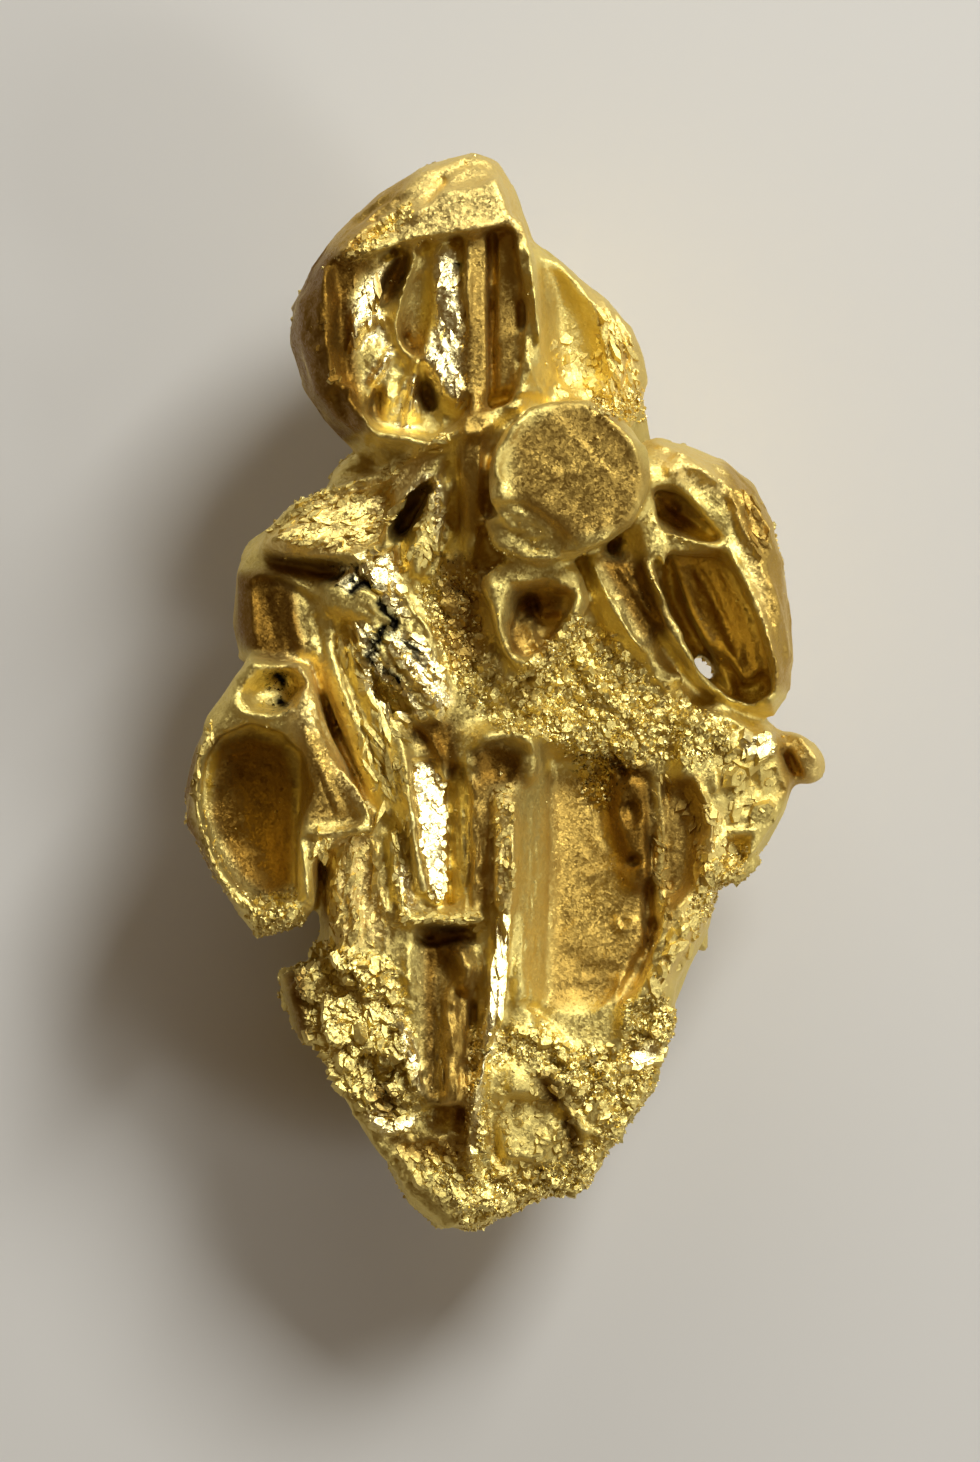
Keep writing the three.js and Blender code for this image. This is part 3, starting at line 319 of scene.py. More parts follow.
# head: sandy cap, open mouth full of leaves, dark outer shell on its left
head = {
    "settled": [
        # the mouth's floor, then the leaves and hollows in it
        ([(-2.0, 5.9), (-1.5, 6.05), (-1.1, 6.14), (-0.6, 6.22), (-0.5, 3.9), (-0.9, 3.6), (-1.7, 3.6),
          (-2.02, 4.0)],
         0.07, 4.28, (0.05, 0.08), 0.0, 0.9),
        ([(-0.14, 6.3), (0.1, 6.34), (0.2, 5.3), (0.14, 4.2), (-0.14, 4.1)], 0.05, 4.48, (0.12, 0.0)),
        ([(-0.5, 6.22), (-0.24, 6.27), (-0.24, 4.1), (-0.48, 4.1)], 0.05, 4.55, (0.05, 0.0)),
        ([(-1.6, 5.95), (-1.95, 5.65), (-2.12, 5.3), (-2.08, 4.7), (-1.95, 5.0), (-1.75, 5.1),
          (-1.82, 5.3), (-1.7, 5.7)],
         0.05, 4.46, (-0.25, -0.3)),
        (places["leafHollow"], 0.04, 4.05, (0.45, 0.1), 0.12),
        ([(-1.12, 5.92), (-1.32, 5.75), (-1.42, 5.4), (-1.47, 5.05), (-1.42, 4.8), (-1.25, 4.62),
          (-1.1, 4.75), (-1.03, 5.1), (-0.98, 5.5), (-1.0, 5.9)], 0.045, 4.2, (-0.15, 0.22), 0.2),
        (places["starHollow"], 0.035, 4.0, (0.2, 0.0), 0.1),
        (places["lowHollow"], 0.035, 4.02, (0.3, 0.0), 0.1),
        ([(-1.15, 4.6), (-1.05, 4.95), (-0.92, 5.05), (-0.75, 4.65), (-0.52, 4.15), (-0.6, 3.95),
          (-0.85, 4.1), (-1.02, 4.45)],
         0.04, 4.5, (-0.25, -0.33)),
        ([(-0.95, 6.05), (-0.72, 6.05), (-0.55, 5.3), (-0.48, 4.8), (-0.5, 4.25), (-0.65, 4.35),
          (-0.85, 4.95), (-0.95, 5.5)],
         0.04, 4.42, (-0.24, -0.12)),
        ([(-2.15, 4.1), (-1.75, 3.7), (-1.0, 3.5), (-0.6, 3.7), (-0.65, 3.85), (-1.1, 3.7), (-1.8, 3.8),
          (-2.0, 4.2)],
         0.08, 4.2, (0.0, 0.4), 0.0, 0.8),
        # cap and the outer skin beside it
        ([(-2.82, 5.45), (-2.5, 5.5), (-2.44, 5.0), (-2.55, 4.72), (-2.8, 4.8)], 0.07, 4.56, (1.3, 0.0)),
        ([(-2.68, 4.6), (-2.4, 4.7), (-2.34, 4.2), (-2.45, 4.0), (-2.66, 4.1)], 0.07, 4.56, (1.1, 0.15)),
        ([(-2.24, 4.75), (-2.02, 4.8), (-1.98, 4.3), (-2.2, 4.2)], 0.06, 4.33, (-0.4, 0.0)),
        ([(-0.4, 6.95), (-0.1, 7.1), (0.1, 6.42), (-0.14, 6.38), (-0.7, 6.28), (-1.14, 6.2), (-1.4, 6.2),
          (-0.85, 6.9)], 0.06, 4.85, (0.02, -0.07)),
        ([(-2.1, 6.1), (-1.6, 6.75), (-1.2, 6.85), (-1.45, 6.4)], 0.1, 4.5, (0.3, -0.5)),
        ([(-2.4, 5.9), (-1.95, 6.02), (-1.6, 5.97), (-1.95, 5.7), (-2.15, 5.3), (-2.1, 4.4), (-2.3, 4.4)],
         0.1, 4.35, (0.3, 0.1), 0.0, 0.8),
    ],
    "raised": [
        ([(-2.15, 5.97), (-1.6, 6.12), (-1.14, 6.23), (-0.7, 6.31), (-0.14, 6.41), (0.1, 6.45)], 0.08,
         0.1),
        ([(-2.65, 5.9), (-2.2, 6.45), (-1.7, 6.9), (-1.2, 7.2), (-0.85, 7.34), (-0.4, 7.42)], 0.16, 0.14,
         "round"),
        ([(-0.4, 7.42), (-0.1, 7.25), (0.08, 6.95), (0.2, 6.6)], 0.1, 0.12, "round"),
        ([(-1.3, 6.45), (-1.0, 6.75), (-0.7, 7.05), (-0.5, 7.2)], 0.07, 0.1),
        ([(-0.02, 7.05), (0.0, 6.75), (0.05, 6.5)], 0.05, 0.08),
        ([(-2.3, 5.95), (-1.95, 6.3), (-1.6, 6.55), (-1.35, 6.7)], 0.08, 0.14),
        ([(-2.35, 6.05), (-2.0, 6.45)], 0.05, 0.08),
        # rims of the leaf-shaped hollows
        ([(-1.25, 6.14), (-1.5, 6.02), (-1.68, 5.75), (-1.84, 5.3)], 0.05, 0.1),
        ([(-1.2, 6.05), (-1.34, 5.72), (-1.43, 5.4), (-1.51, 5.05), (-1.45, 4.8), (-1.22, 4.57)], 0.05,
         0.15),
        ([(-1.0, 5.95), (-0.98, 5.4), (-1.04, 5.0), (-1.11, 4.75), (-1.22, 4.57)], 0.045, 0.12),
        ([(-1.8, 5.25), (-1.6, 5.2), (-1.48, 5.05)], 0.05, 0.08),
        ([(-2.07, 5.2), (-2.1, 4.9), (-2.05, 4.65)], 0.04, 0.08),
        # arms of the star, blades below it
        ([(-1.3, 4.75), (-1.22, 4.55), (-1.1, 4.6)], 0.1, 0.1, "round"),
        ([(-1.22, 4.57), (-1.36, 4.35), (-1.46, 4.1)], 0.06, 0.12),
        ([(-1.22, 4.57), (-1.29, 4.1), (-1.38, 3.65)], 0.055, 0.2),
        ([(-1.1, 4.48), (-0.92, 4.15), (-0.62, 3.92)], 0.05, 0.12),
        ([(-1.2, 4.05), (-1.22, 3.75)], 0.04, 0.1),
        ([(-1.6, 4.8), (-1.68, 4.5), (-1.85, 4.25)], 0.08, 0.16),
        ([(-1.62, 4.3), (-1.6, 4.0), (-1.62, 3.72)], 0.045, 0.12),
        ([(-1.5, 4.15), (-1.52, 3.8)], 0.04, 0.1),
        ([(-1.95, 4.15), (-1.95, 3.85), (-1.85, 3.65)], 0.05, 0.1),
        # the foil beside the column
        ([(-0.95, 5.55), (-0.92, 5.0), (-0.78, 4.5), (-0.62, 4.1)], 0.035, 0.1),
        ([(-0.88, 6.0), (-0.78, 5.85)], 0.035, 0.06),
        ([(-0.92, 5.85), (-0.76, 5.68)], 0.035, 0.06),
        ([(-0.86, 5.62), (-0.72, 5.48)], 0.035, 0.06),
        ([(-0.7, 5.35), (-0.64, 5.1), (-0.66, 4.95)], 0.06, 0.07, "round"),
        ([(-0.55, 5.0), (-0.52, 4.6), (-0.56, 4.35)], 0.05, 0.08),
        ([(-0.72, 4.45), (-0.56, 4.12)], 0.05, 0.07),
        ([(-0.2, 6.35), (-0.21, 5.8), (-0.17, 5.35)], 0.035, 0.14),
        ([(-0.28, 4.2), (-0.36, 3.4), (-0.4, 2.6)], 0.05, 0.07),
        ([(-0.55, 4.0), (-0.58, 3.2), (-0.62, 2.5)], 0.05, 0.07),
        ([(0.12, 6.4), (0.19, 6.0), (0.23, 5.5), (0.22, 5.0), (0.14, 4.5), (0.08, 4.1)], 0.05, 0.16),
        ([(0.22, 6.5), (0.32, 5.9), (0.42, 5.2), (0.48, 4.7)], 0.05, 0.16),
        ([(-0.62, 3.6), (-0.35, 3.55), (-0.1, 3.75)], 0.12, 0.1),
        ([(-0.1, 4.02), (0.1, 3.9), (0.3, 3.98)], 0.07, 0.12),
        # marks on the dark shell
        ([(-2.62, 5.3), (-2.52, 5.2), (-2.55, 5.0), (-2.65, 4.85), (-2.75, 4.75)], 0.04, 0.07),
        ([(-2.75, 5.25), (-2.72, 5.1), (-2.78, 5.0)], 0.04, 0.06),
        ([(-2.46, 4.92), (-2.42, 4.72)], 0.045, 0.08),
        ([(-2.4, 4.45), (-2.25, 4.35)], 0.04, 0.06),
        ([(-2.7, 4.35), (-2.55, 4.28)], 0.06, 0.06),
        ([(-2.3, 5.6), (-2.35, 5.2), (-2.3, 4.9)], 0.05, 0.05),
    ],
    "sunk": [
        ([(-2.13, 6.4), (-1.85, 6.62), (-1.53, 6.85)], 0.08, 0.3),
        ([(-1.12, 6.68), (-0.95, 6.9), (-0.82, 7.12)], 0.09, 0.2),
        ([(-0.7, 7.2), (-0.5, 7.3), (-0.3, 7.28), (-0.2, 7.2)], 0.06, 0.14),
        ([(-0.3, 7.3), (-0.15, 7.1)], 0.04, 0.08),
        ([(-2.2, 4.5), (-2.25, 4.1), (-2.1, 3.7)], 0.13, 0.12, "round"),
        ([(-1.39, 4.95), (-1.3, 4.74)], 0.08, 0.14, "round"),
        ([(-0.62, 6.05), (-0.6, 5.6)], 0.06, 0.14),
        ([(-0.22, 5.4), (-0.22, 4.2)], 0.04, 0.08),
        ([(0.27, 6.2), (0.33, 5.6), (0.38, 5.0), (0.3, 4.4)], 0.035, 0.12),
        ([(-1.75, 5.0), (-1.9, 4.9), (-2.0, 4.75)], 0.07, 0.1, "round"),
        ([(-1.55, 4.6), (-1.5, 4.4)], 0.06, 0.12, "round"),
        ([(-0.85, 6.2), (-0.65, 6.22)], 0.06, 0.14),
    ],
    "crumpled": [
        ([(-0.95, 6.05), (-0.7, 6.05), (-0.5, 4.9), (-0.52, 4.2), (-0.85, 4.9)], 0.04, 0.24, 0.02, 5, 1.3,
         1.8),
        ([(-1.6, 5.95), (-1.95, 5.65), (-2.12, 5.3), (-2.08, 4.7), (-1.5, 5.0), (-1.8, 5.3)], 0.05, 0.22,
         0.035, 6, 1.35, 3.2),
        ([(-1.15, 4.6), (-0.95, 5.1), (-0.5, 4.1), (-0.85, 4.05)], 0.04, 0.14, 0.014, 7, 0.8, 1.8),
        ([(-2.4, 5.95), (-1.5, 6.8), (-1.2, 6.75), (-2.1, 5.95)], 0.05, 0.06, 0.08, 9, -0.8, 2.5),
        ([(-3.0, 5.8), (-2.2, 5.8), (-2.2, 3.6), (-2.9, 4.2)], 0.12, 0.4, 0.04, 10, 1.3, 1.6),
    ],
    "scored": [
        ([(-0.52, 6.2), (-0.25, 6.2), (-0.3, 2.2), (-0.6, 2.2)], 1.6, 0.06, 30, 0.9, 0.03, 0.012),
        ([(-1.9, 4.6), (-0.6, 4.6), (-0.6, 3.7), (-1.8, 3.7)], 1.5, 0.25, 30, 0.4, 0.03, 0.03),
        ([(-2.9, 5.8), (-2.2, 5.9), (-2.1, 3.7), (-2.8, 4.2)], 1.5, 0.35, 30, 0.5, 0.04, 0.02),
        (places["capSlope"], 2.2, 0.2, 26, 0.18, 0.03, 0.04),
        ([(-1.0, 6.7), (-0.1, 7.0), (0.05, 6.5), (-1.0, 6.45)], 0.9, 1.2, 50, 0.12, 0.025, 0.015),
    ],
}

# wing: a dished leaf with a ridged, rounded outer edge
wing = {
    "settled": [
        ([(0.46, 6.0), (0.78, 5.9), (1.1, 5.45), (1.36, 4.95), (1.46, 4.5), (1.35, 4.15), (0.95, 4.04),
          (0.62, 4.2), (0.52, 4.9)],
         0.09, 4.1, (-0.15, 0.0), 0.35),
    ],
    "raised": [
        ([(1.15, 5.5), (1.35, 5.15), (1.47, 4.7), (1.45, 4.3)], 0.06, 0.12),
        ([(1.25, 5.55), (1.5, 5.15), (1.6, 4.7), (1.55, 4.2)], 0.06, 0.12),
        ([(1.45, 5.4), (1.7, 4.95), (1.75, 4.4)], 0.06, 0.1),
        ([(0.75, 5.85), (1.0, 5.65), (1.2, 5.35)], 0.06, 0.08),
        ([(0.48, 4.7), (0.62, 4.4), (0.82, 4.1)], 0.05, 0.16),
        ([(0.3, 4.6), (0.4, 4.3), (0.55, 4.05)], 0.05, 0.14),
        ([(0.05, 4.1), (0.35, 4.15), (0.7, 4.05), (1.0, 4.1)], 0.06, 0.12),
        ([(0.82, 5.3), (0.92, 5.1), (0.95, 4.9)], 0.04, 0.05),
        ([(0.6, 5.6), (0.64, 5.1), (0.68, 4.7)], 0.06, 0.04),
        ([(1.1, 4.4), (1.25, 4.25), (1.4, 4.2)], 0.06, 0.1),
    ],
    "sunk": [
        ([(1.4, 5.35), (1.55, 5.0), (1.66, 4.6), (1.65, 4.3)], 0.04, 0.1),
        ([(1.2, 4.15), (1.35, 4.0)], 0.09, 0.2),
        ([(1.55, 4.1), (1.65, 4.0)], 0.07, 0.15),
        ([(0.4, 4.45), (0.5, 4.2)], 0.05, 0.14),
    ],
    "crumpled": [
        ([(1.1, 5.6), (1.9, 4.8), (1.9, 3.9), (1.5, 3.8), (1.4, 4.6)], 0.08, 0.16, 0.08, 11, 1.9, 2.4),
        ([(0.5, 5.8), (1.2, 5.2), (1.4, 4.3), (0.7, 4.2)], 0.1, 0.3, 0.03, 12, 1.4, 1.8),
    ],
    "scored": [
        ([(1.1, 5.6), (1.9, 4.8), (1.8, 4.1), (1.4, 4.2), (1.35, 4.8)], 1.95, 0.2, 40, 0.4, 0.035, 0.05),
    ],
}

# round crystal: flat grainy face with rounded shoulders
disc = {
    "settled": [
        ([(0.85, 3.98), (1.35, 3.78), (1.75, 3.35), (1.88, 2.9), (1.7, 2.4), (1.25, 2.12), (0.8, 2.1),
          (0.3, 2.35), (-0.08, 2.8), (-0.05, 3.25), (0.3, 3.75)], 0.1, 5.42, (0.03, 0.05)),
        ([(-0.2, 2.6), (0.25, 2.6), (0.7, 2.3), (0.95, 2.05), (0.7, 1.95), (0.2, 2.0), (-0.15, 2.2)], 0.1,
         5.0, (0.1, 0.35), 0.0, 0.7),
    ],
    "raised": [
        ([(0.35, 2.72), (0.6, 2.9), (0.85, 3.02), (1.02, 3.05)], 0.05, 0.05),
        ([(1.05, 2.12), (1.28, 2.25), (1.38, 2.42)], 0.05, 0.07),
        ([(-0.22, 2.35), (0.05, 2.5), (0.4, 2.42), (0.7, 2.18)], 0.09, 0.09),
        ([(0.95, 3.98), (1.35, 3.8), (1.7, 3.42), (1.86, 3.0)], 0.08, 0.06, "round"),
        ([(0.0, 3.5), (0.3, 3.82), (0.7, 3.98)], 0.07, 0.04, "round"),
    ],
    "sunk": [
        ([(0.3, 2.62), (0.6, 2.78), (0.9, 2.92)], 0.04, 0.05),
        ([(-0.15, 2.62), (0.2, 2.6), (0.5, 2.4), (0.75, 2.15)], 0.05, 0.1),
        ([(0.05, 2.25), (0.4, 2.15)], 0.08, 0.07),
    ],
    "crumpled": [
        ([(0.5, 3.7), (1.0, 3.85), (1.6, 3.5), (1.8, 2.9), (1.5, 2.3), (0.9, 2.2), (0.7, 2.9)], 0.12,
         0.15, 0.008, 13, 0.0, 1.0),
        ([(-0.1, 3.2), (0.3, 3.7), (0.7, 3.6), (0.6, 2.8), (0.0, 2.75)], 0.1, 0.35, 0.02, 15, 0.0, 1.0),
    ],
    "scored": [
        ([(0.0, 3.3), (0.6, 3.8), (1.5, 3.4), (1.7, 2.7), (1.0, 2.2), (0.5, 2.6)], 0.6, 1.2, 40, 0.25,
         0.03, 0.006),
        ([(-0.2, 2.5), (0.5, 2.4), (0.9, 2.0), (0.2, 1.95)], 0.1, 0.4, 14, 0.4, 0.04, 0.04),
    ],
}

# left shoulder: rough plate, almond hollow, smooth ribbed arm below it
shoulder = {
    "settled": [
        ([(-3.62, 1.7), (-3.3, 1.8), (-2.3, 1.45), (-2.2, 0.9), (-2.5, 0.5), (-3.0, 0.45), (-3.6, 0.6)],
         0.14, 3.55, (0.3, -0.12)),
        ([(-2.5, 1.55), (-2.0, 1.55), (-1.72, 1.3), (-1.75, 1.05), (-2.2, 1.05), (-2.5, 1.2)], 0.09, 4.15,
         (0.15, 0.25)),
    ],
    "faced": [
        ([(-3.2, 2.15), (-2.6, 2.62), (-1.6, 2.9), (-1.55, 2.5), (-1.75, 2.1), (-2.4, 2.02),
          (-3.0, 2.02)], 0.1, 0.02, (-0.1, -0.22)),
    ],
    "raised": [
        ([(-3.35, 2.18), (-3.0, 2.52), (-2.5, 2.8), (-1.9, 2.97), (-1.4, 3.2), (-0.95, 3.48),
          (-0.62, 3.72)], 0.08, 0.14),
        ([(-3.1, 2.32), (-2.7, 2.55), (-2.25, 2.76)], 0.06, 0.08),
        ([(-3.4, 2.1), (-3.05, 1.98), (-2.7, 1.92), (-2.3, 1.95), (-1.95, 1.9)], 0.08, 0.1),
        ([(-1.68, 2.05), (-1.55, 2.45), (-1.32, 2.78), (-1.0, 3.02)], 0.06, 0.12),
        ([(-1.35, 1.8), (-1.2, 2.15), (-1.08, 2.5), (-0.95, 2.85)], 0.06, 0.16),
        ([(-1.15, 1.75), (-1.0, 2.1), (-0.85, 2.5), (-0.82, 2.85)], 0.06, 0.16),
        ([(-3.62, 1.52), (-3.4, 1.68), (-3.1, 1.68), (-2.75, 1.5), (-2.45, 1.3)], 0.07, 0.14),
        ([(-3.5, 1.5), (-3.48, 1.1), (-3.42, 0.65)], 0.08, 0.1),
        ([(-2.95, 1.45), (-2.92, 1.0), (-2.8, 0.55)], 0.08, 0.07, "round"),
        ([(-2.25, 3.25), (-1.95, 3.38), (-1.6, 3.3)], 0.1, 0.14),
        ([(-2.3, 3.45), (-2.0, 3.55), (-1.7, 3.6)], 0.06, 0.1),
        ([(-2.45, 1.55), (-2.1, 1.5), (-1.8, 1.35), (-1.7, 1.2)], 0.06, 0.08),
        ([(-0.75, 3.1), (-0.72, 2.6), (-0.8, 2.2)], 0.05, 0.1),
    ],
    "sunk": [
        ([(-2.9, 2.4), (-2.5, 2.56), (-2.2, 2.6)], 0.06, 0.07),
        ([(-3.45, 1.9), (-3.0, 1.82), (-2.6, 1.72), (-2.3, 1.7)], 0.08, 0.16),
        ([(-1.5, 2.2), (-1.28, 2.5), (-1.08, 2.8)], 0.12, 0.3),
        ([(-3.42, 1.56), (-3.1, 1.55), (-2.8, 1.38), (-2.55, 1.2)], 0.06, 0.12),
        ([(-3.3, 1.45), (-3.22, 1.1), (-3.15, 0.7)], 0.06, 0.1),
        ([(-2.62, 1.15), (-2.55, 0.8), (-2.5, 0.45)], 0.06, 0.14),
        ([(-2.3, 3.05), (-1.9, 3.12), (-1.5, 3.15)], 0.08, 0.22),
        ([(-1.45, 3.42), (-1.3, 3.44)], 0.06, 0.2),
        ([(-1.05, 1.85), (-0.92, 2.3), (-0.88, 2.7)], 0.04, 0.12),
    ],
    "crumpled": [
        ([(-3.3, 2.2), (-2.6, 2.7), (-1.5, 2.95), (-1.7, 2.1), (-2.4, 1.95), (-3.1, 2.0)], 0.08, 0.2,
         0.05, 17, 0.4, 2.0),
        ([(-2.2, 3.6), (-1.2, 3.5), (-1.3, 3.2), (-2.2, 3.1)], 0.08, 0.13, 0.08, 19, 0.4, 1.3),
        (places["shoulderArm"], 0.1, 0.4, 0.025, 20, 1.5, 1.5),
    ],
    "scored": [
        ([(-3.3, 2.2), (-2.6, 2.7), (-1.5, 3.0), (-0.7, 3.6), (-1.2, 2.9), (-1.7, 2.1), (-2.4, 1.95)],
         0.45, 0.3, 50, 0.4, 0.035, 0.04),
        ([(-1.4, 1.7), (-0.85, 2.9), (-0.7, 2.3), (-1.0, 1.6)], 1.15, 0.15, 30, 0.5, 0.03, 0.04),
        (places["shoulderArm"], 1.5, 0.3, 24, 0.4, 0.04, 0.012),
    ],
}

# creased foil between the shoulder and the slots
foil = {
    "settled": [
        ([(-2.2, -0.6), (-1.9, 0.6), (-1.5, 0.0), (-1.4, -1.2), (-1.6, -1.7), (-1.85, -1.4)], 0.15, 4.05,
         (0.35, 0.0), 0.0, 0.6),
    ],
    "faced": [
        ([(-1.95, 1.9), (-1.55, 1.95), (-1.5, 1.6), (-1.7, 1.35)], 0.05, 0.04, (-0.15, -0.3)),
        ([(-2.35, 1.62), (-1.95, 1.82), (-1.84, 1.55), (-2.15, 1.42)], 0.05, 0.05, (-0.25, -0.35)),
        ([(-2.1, 1.0), (-1.9, 1.0), (-1.85, 0.6), (-2.0, 0.6)], 0.04, 0.05, (-0.25, -0.35)),
        ([(-1.85, 0.35), (-1.5, 0.1), (-1.2, -0.2), (-1.5, -0.3), (-1.8, 0.0)], 0.05, 0.03,
         (-0.25, -0.35)),
        ([(-1.4, 0.75), (-1.1, 0.65), (-0.85, 0.25), (-1.05, 0.3)], 0.05, 0.03, (-0.2, -0.35)),
        (places["slotFoil"], 0.04, 0.08, (-0.24, -0.2)),
        (places["slotGlint"], 0.04, 0.04, (-0.24, -0.2)),
        ([(-1.33, 2.0), (-1.05, 2.52), (-0.86, 2.6), (-0.9, 2.2), (-1.15, 1.62), (-1.3, 1.62)], 0.04,
         0.08, (-0.2, 0.0)),
    ],
    "raised": [
        ([(-1.6, 0.8), (-1.42, 0.52), (-1.2, 0.22), (-1.0, -0.02), (-0.8, -0.15)], 0.1, 0.16, "round"),
        ([(-1.5, 0.85), (-1.2, 0.75), (-0.9, 0.35), (-0.74, 0.0), (-0.8, -0.15)], 0.045, 0.09),
        ([(-1.72, 0.62), (-1.5, 0.3), (-1.3, 0.05), (-1.1, -0.2)], 0.04, 0.07),
        ([(-2.0, 1.95), (-1.78, 1.6), (-1.58, 1.2)], 0.07, 0.12),
        ([(-1.75, 2.0), (-1.5, 1.6), (-1.2, 1.1), (-0.8, 0.55)], 0.06, 0.1),
        ([(-1.45, 1.75), (-1.1, 1.3), (-0.75, 0.85)], 0.05, 0.1),
        ([(-1.05, 1.7), (-0.8, 1.3), (-0.6, 0.9)], 0.05, 0.08),
        ([(-1.95, 0.9), (-1.8, 0.3), (-1.55, -0.2)], 0.06, 0.1),
        ([(-2.45, 0.7), (-2.2, 0.1), (-1.95, -0.6), (-1.78, -1.4)], 0.07, 0.1),
        ([(-2.2, 0.95), (-1.95, 0.2), (-1.65, -0.6), (-1.5, -1.4)], 0.06, 0.1),
        ([(-1.95, -0.1), (-1.75, -0.9), (-1.65, -1.6)], 0.05, 0.08),
        ([(-1.3, -0.35), (-1.0, -0.6), (-0.85, -0.9)], 0.06, 0.12),
    ],
    "sunk": [
        ([(-1.7, 1.25), (-1.55, 1.1), (-1.52, 0.97), (-1.66, 0.9), (-1.77, 0.78), (-1.8, 0.65),
          (-1.88, 0.52)], 0.06, 0.14),
        ([(-1.62, 0.62), (-1.42, 0.32), (-1.22, 0.05)], 0.04, 0.1),
        ([(-2.4, 1.72), (-2.2, 1.55)], 0.04, 0.12),
        ([(-2.25, 1.78), (-2.0, 1.5)], 0.04, 0.12),
        ([(-2.05, 1.75), (-1.85, 1.52)], 0.04, 0.12),
        ([(-1.25, -0.45), (-1.05, -0.65)], 0.12, 0.22),
        ([(-1.9, 0.2), (-1.75, -0.3)], 0.05, 0.12),
        ([(-1.7, -0.7), (-1.6, -1.2)], 0.05, 0.12),
        ([(-1.6, 1.8), (-1.35, 1.4), (-1.05, 1.0)], 0.05, 0.1),
    ],
    "crumpled": [
        (places["foilSheet"], 0.1, 0.36, 0.09, 23, 2.2, 2.4),
        (places["foilSheet"], 0.1, 0.12, 0.03, 25, 2.2, 2.0),
        ([(-1.4, -0.5), (-0.85, -0.6), (-0.8, -2.8), (-1.3, -3.0), (-1.45, -2.0)], 0.06, 0.2, 0.02, 27,
         1.6, 1.5),
        (places["longFolds"], 0.08, 0.16, 0.06, 29, 2.0, 3.5),
    ],
    "scored": [
        ([(-2.2, 1.9), (-1.2, 1.8), (-0.8, 0.3), (-1.4, -0.3), (-1.9, 0.6)], 2.2, 0.3, 60, 0.35, 0.035,
         0.05),
        ([(-2.5, 0.8), (-1.9, 0.9), (-1.4, -1.4), (-1.7, -1.6)], 1.95, 0.12, 40, 0.7, 0.035, 0.04),
    ],
}

